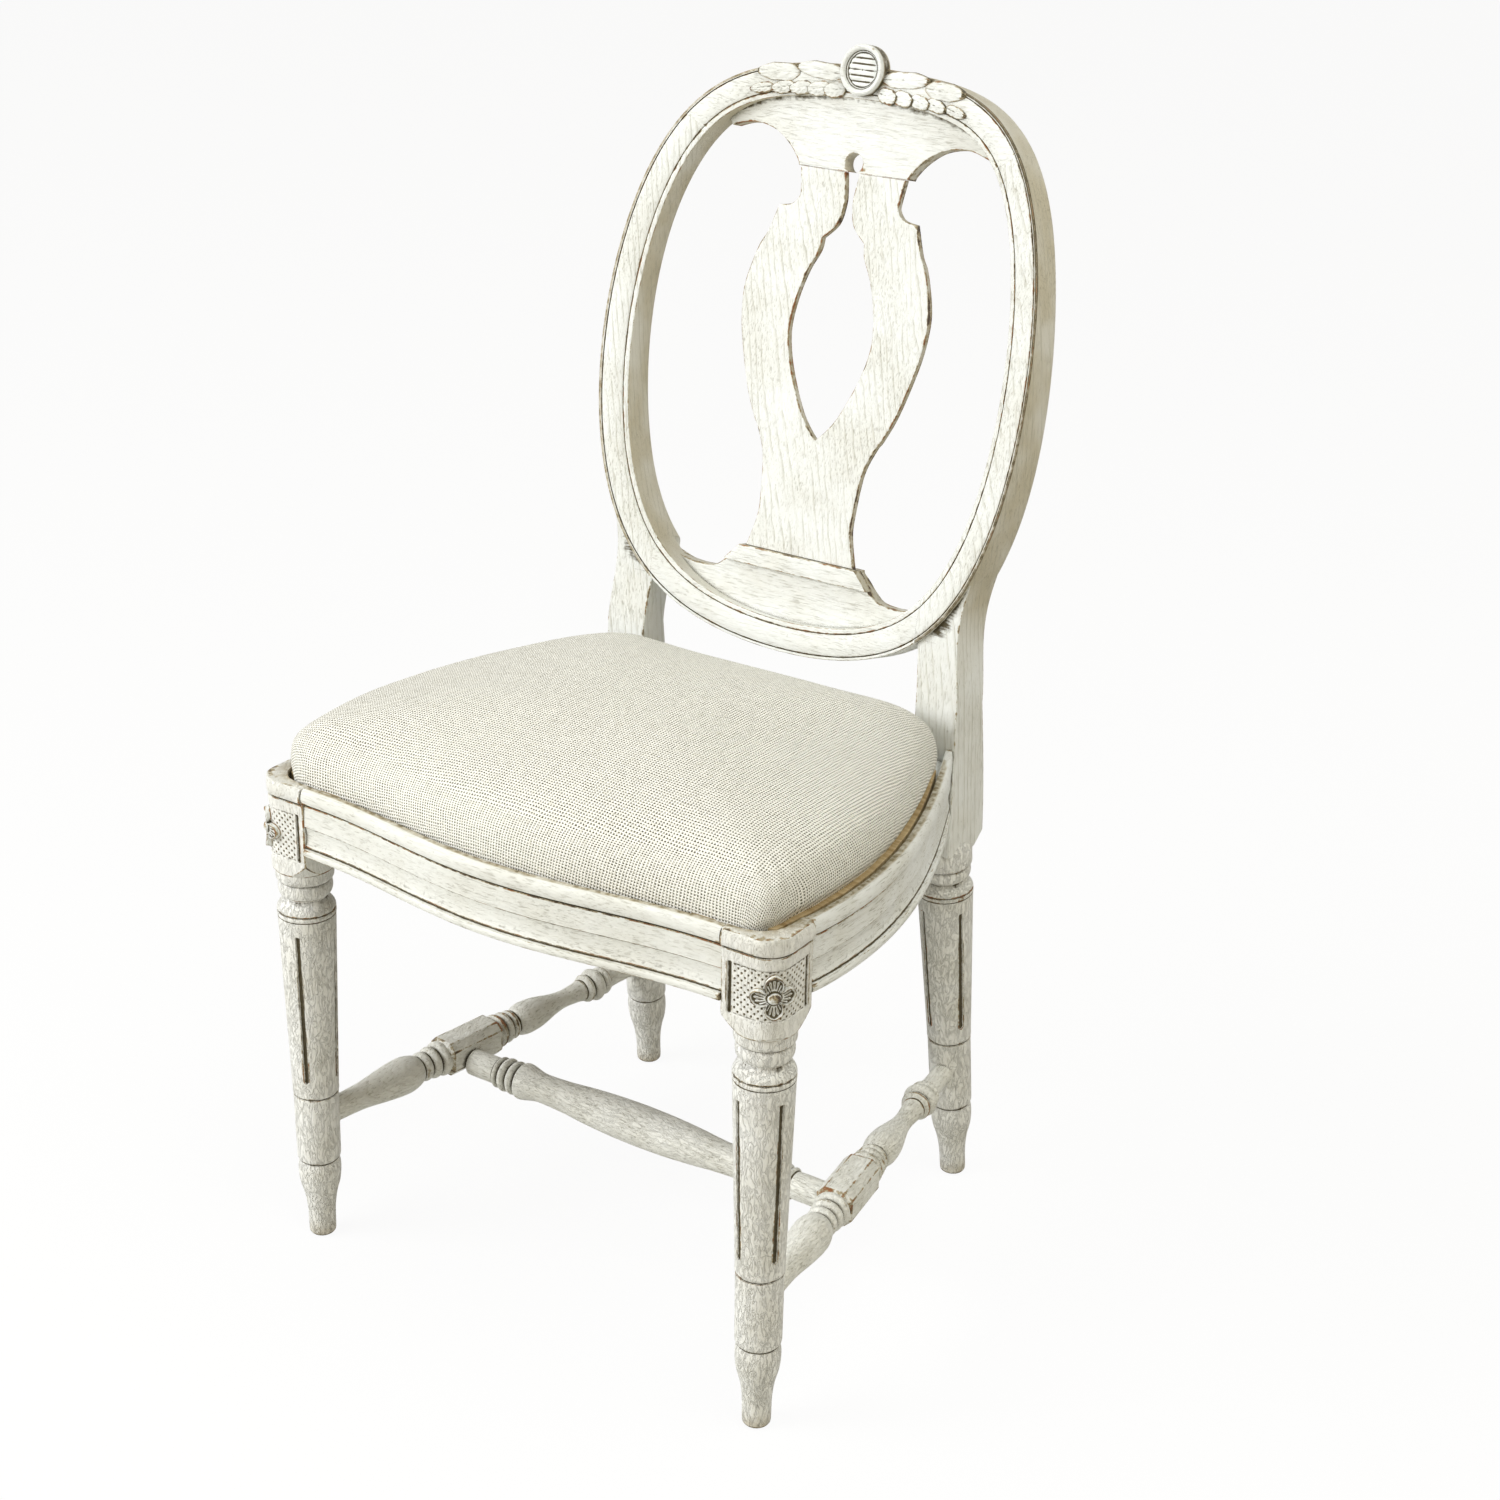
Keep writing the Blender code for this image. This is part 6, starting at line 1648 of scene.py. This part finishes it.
rawOak, plywood, dustCloth = (plainWood(name, *look) for name, look in hiddenLook.items())
for node in [end + "_corner_block" + side for end in ("front", "rear") for side in ("_left", "_right")]:
    keepNode(node, rawOak)
keepNode("seat_board", plywood)
keepNode("seat_dust_cover", dustCloth)
keepNode("rear_rail", crossPaint)

# ---------------------------------------------------------------- floor, light and camera
studio = {
    "world": 0.25, "worldTint": "#FFF1D4", "floorHalf": 40.0,
    "floorShade": 0.93,  # how much of the floor is plain white to the camera; the rest takes the shadow
    # each lamp's size, place, aim, power and colour
    "lamps": {
        "key": (3.0, (-4.60, -4.00, 3.90), (0, 0, 0.40), 208.0, "#FEFFFF"),
        "top": (2.4, (1.40, -0.10, 3.10), (0, 0, 0.45), 43.0, "#FDFFFA"),
        "fill": (2.0, (2.60, -1.20, 1.40), (0, 0, 0.45), 9.5, "#FFEFD2"),
        "low": (1.4, (-1.20, -2.20, 1.50), (0, 0.1, 0.12), 34.0, "#FFFFFF"),
    },
}


def seenRays(add):
    # the path's outputs, and 1 for rays that the camera sees straight or in a reflection
    path = add("LightPath").outputs
    return path, add("Math", (path["Is Camera Ray"], path["Is Glossy Ray"]), 0, operation="MAXIMUM")


def studioFloor():
    mesh = bpy.data.meshes.new("studio_floor")
    side = studio["floorHalf"]
    mesh.from_pydata([(-side, -side, 0), (side, -side, 0), (side, side, 0), (-side, side, 0)], [], [(0, 1, 2, 3)])
    material, tree, _ = newMaterial("white_studio_paper")
    tree.nodes.clear()
    add = partial(addNode, tree)
    path, seen = seenRays(add)
    # white to the eye, and greyer to the light that it throws back up
    tone = add("Mix", {0: path["Is Diffuse Ray"], 6: linear("#FAFAF7"), 7: linear("#CFCFCA")}, 2, data_type="RGBA")
    paper = add("BsdfDiffuse", {"Color": tone}, 0)
    glow = add("Emission", {"Color": (1, 1, 1, 1), "Strength": 1.0}, 0)
    amount = add("Math", (seen, studio["floorShade"]), 0, operation="MULTIPLY")
    add("OutputMaterial", {"Surface": add("MixShader", (amount, paper, glow), 0)})
    mesh.materials.append(material)
    placed("studio_floor", mesh)


def studioWorld():
    world = bpy.data.worlds.new("white_room")
    bpy.context.scene.world = world
    world.use_nodes = True
    world.node_tree.nodes.clear()
    add = partial(addNode, world.node_tree)
    path, seen = seenRays(add)
    seenAll = add("Math", (seen, path["Is Transmission Ray"]), 0, operation="MAXIMUM")
    strength = add("MapRange", {"Value": seenAll, "To Min": studio["world"], "To Max": 1.0}, 0)
    tint = add("Mix", {0: seenAll, 6: linear(studio["worldTint"]), 7: (1.0, 1.0, 1.0, 1.0)}, 2, data_type="RGBA")
    light = add("Background", {"Color": tint, "Strength": strength}, 0)
    add("OutputWorld", {"Surface": light})


def softLamp(name, size, place, target, watts, colour):
    lamp = bpy.data.lights.new(name, "AREA")
    lamp.shape, lamp.size, lamp.energy = "DISK", size, watts
    lamp.color = linear(colour)[:3]
    item = placed(name, lamp)
    item.location = place
    item.rotation_euler = (Vector(target) - Vector(place)).to_track_quat("-Z", "Y").to_euler()


studioFloor()
studioWorld()
for lampName, setting in studio["lamps"].items():
    softLamp(lampName, *setting)

view = {"place": (1.1388, -1.4081, 1.3000), "turn": 33.5206, "down": 22.4237, "roll": 1.1402,
        "lens": 63.06, "shiftX": 0.0004, "shiftY": -0.0330}
camera = bpy.data.cameras.new("camera")
camera.lens, camera.sensor_width = view["lens"], 36.0
camera.shift_x, camera.shift_y = view["shiftX"], view["shiftY"]
cameraItem = placed("camera", camera)
x, y, z = view["place"]
cameraItem.matrix_world = (Matrix.Translation((x, y + shiftY, z)) @ Matrix.Rotation(radians(view["turn"]), 4, "Z")
                           @ Matrix.Rotation(radians(90 - view["down"]), 4, "X")
                           @ Matrix.Rotation(radians(view["roll"]), 4, "Z"))
bpy.context.scene.camera = cameraItem
bpy.context.scene.view_settings.view_transform = "Standard"
print("studio ready")
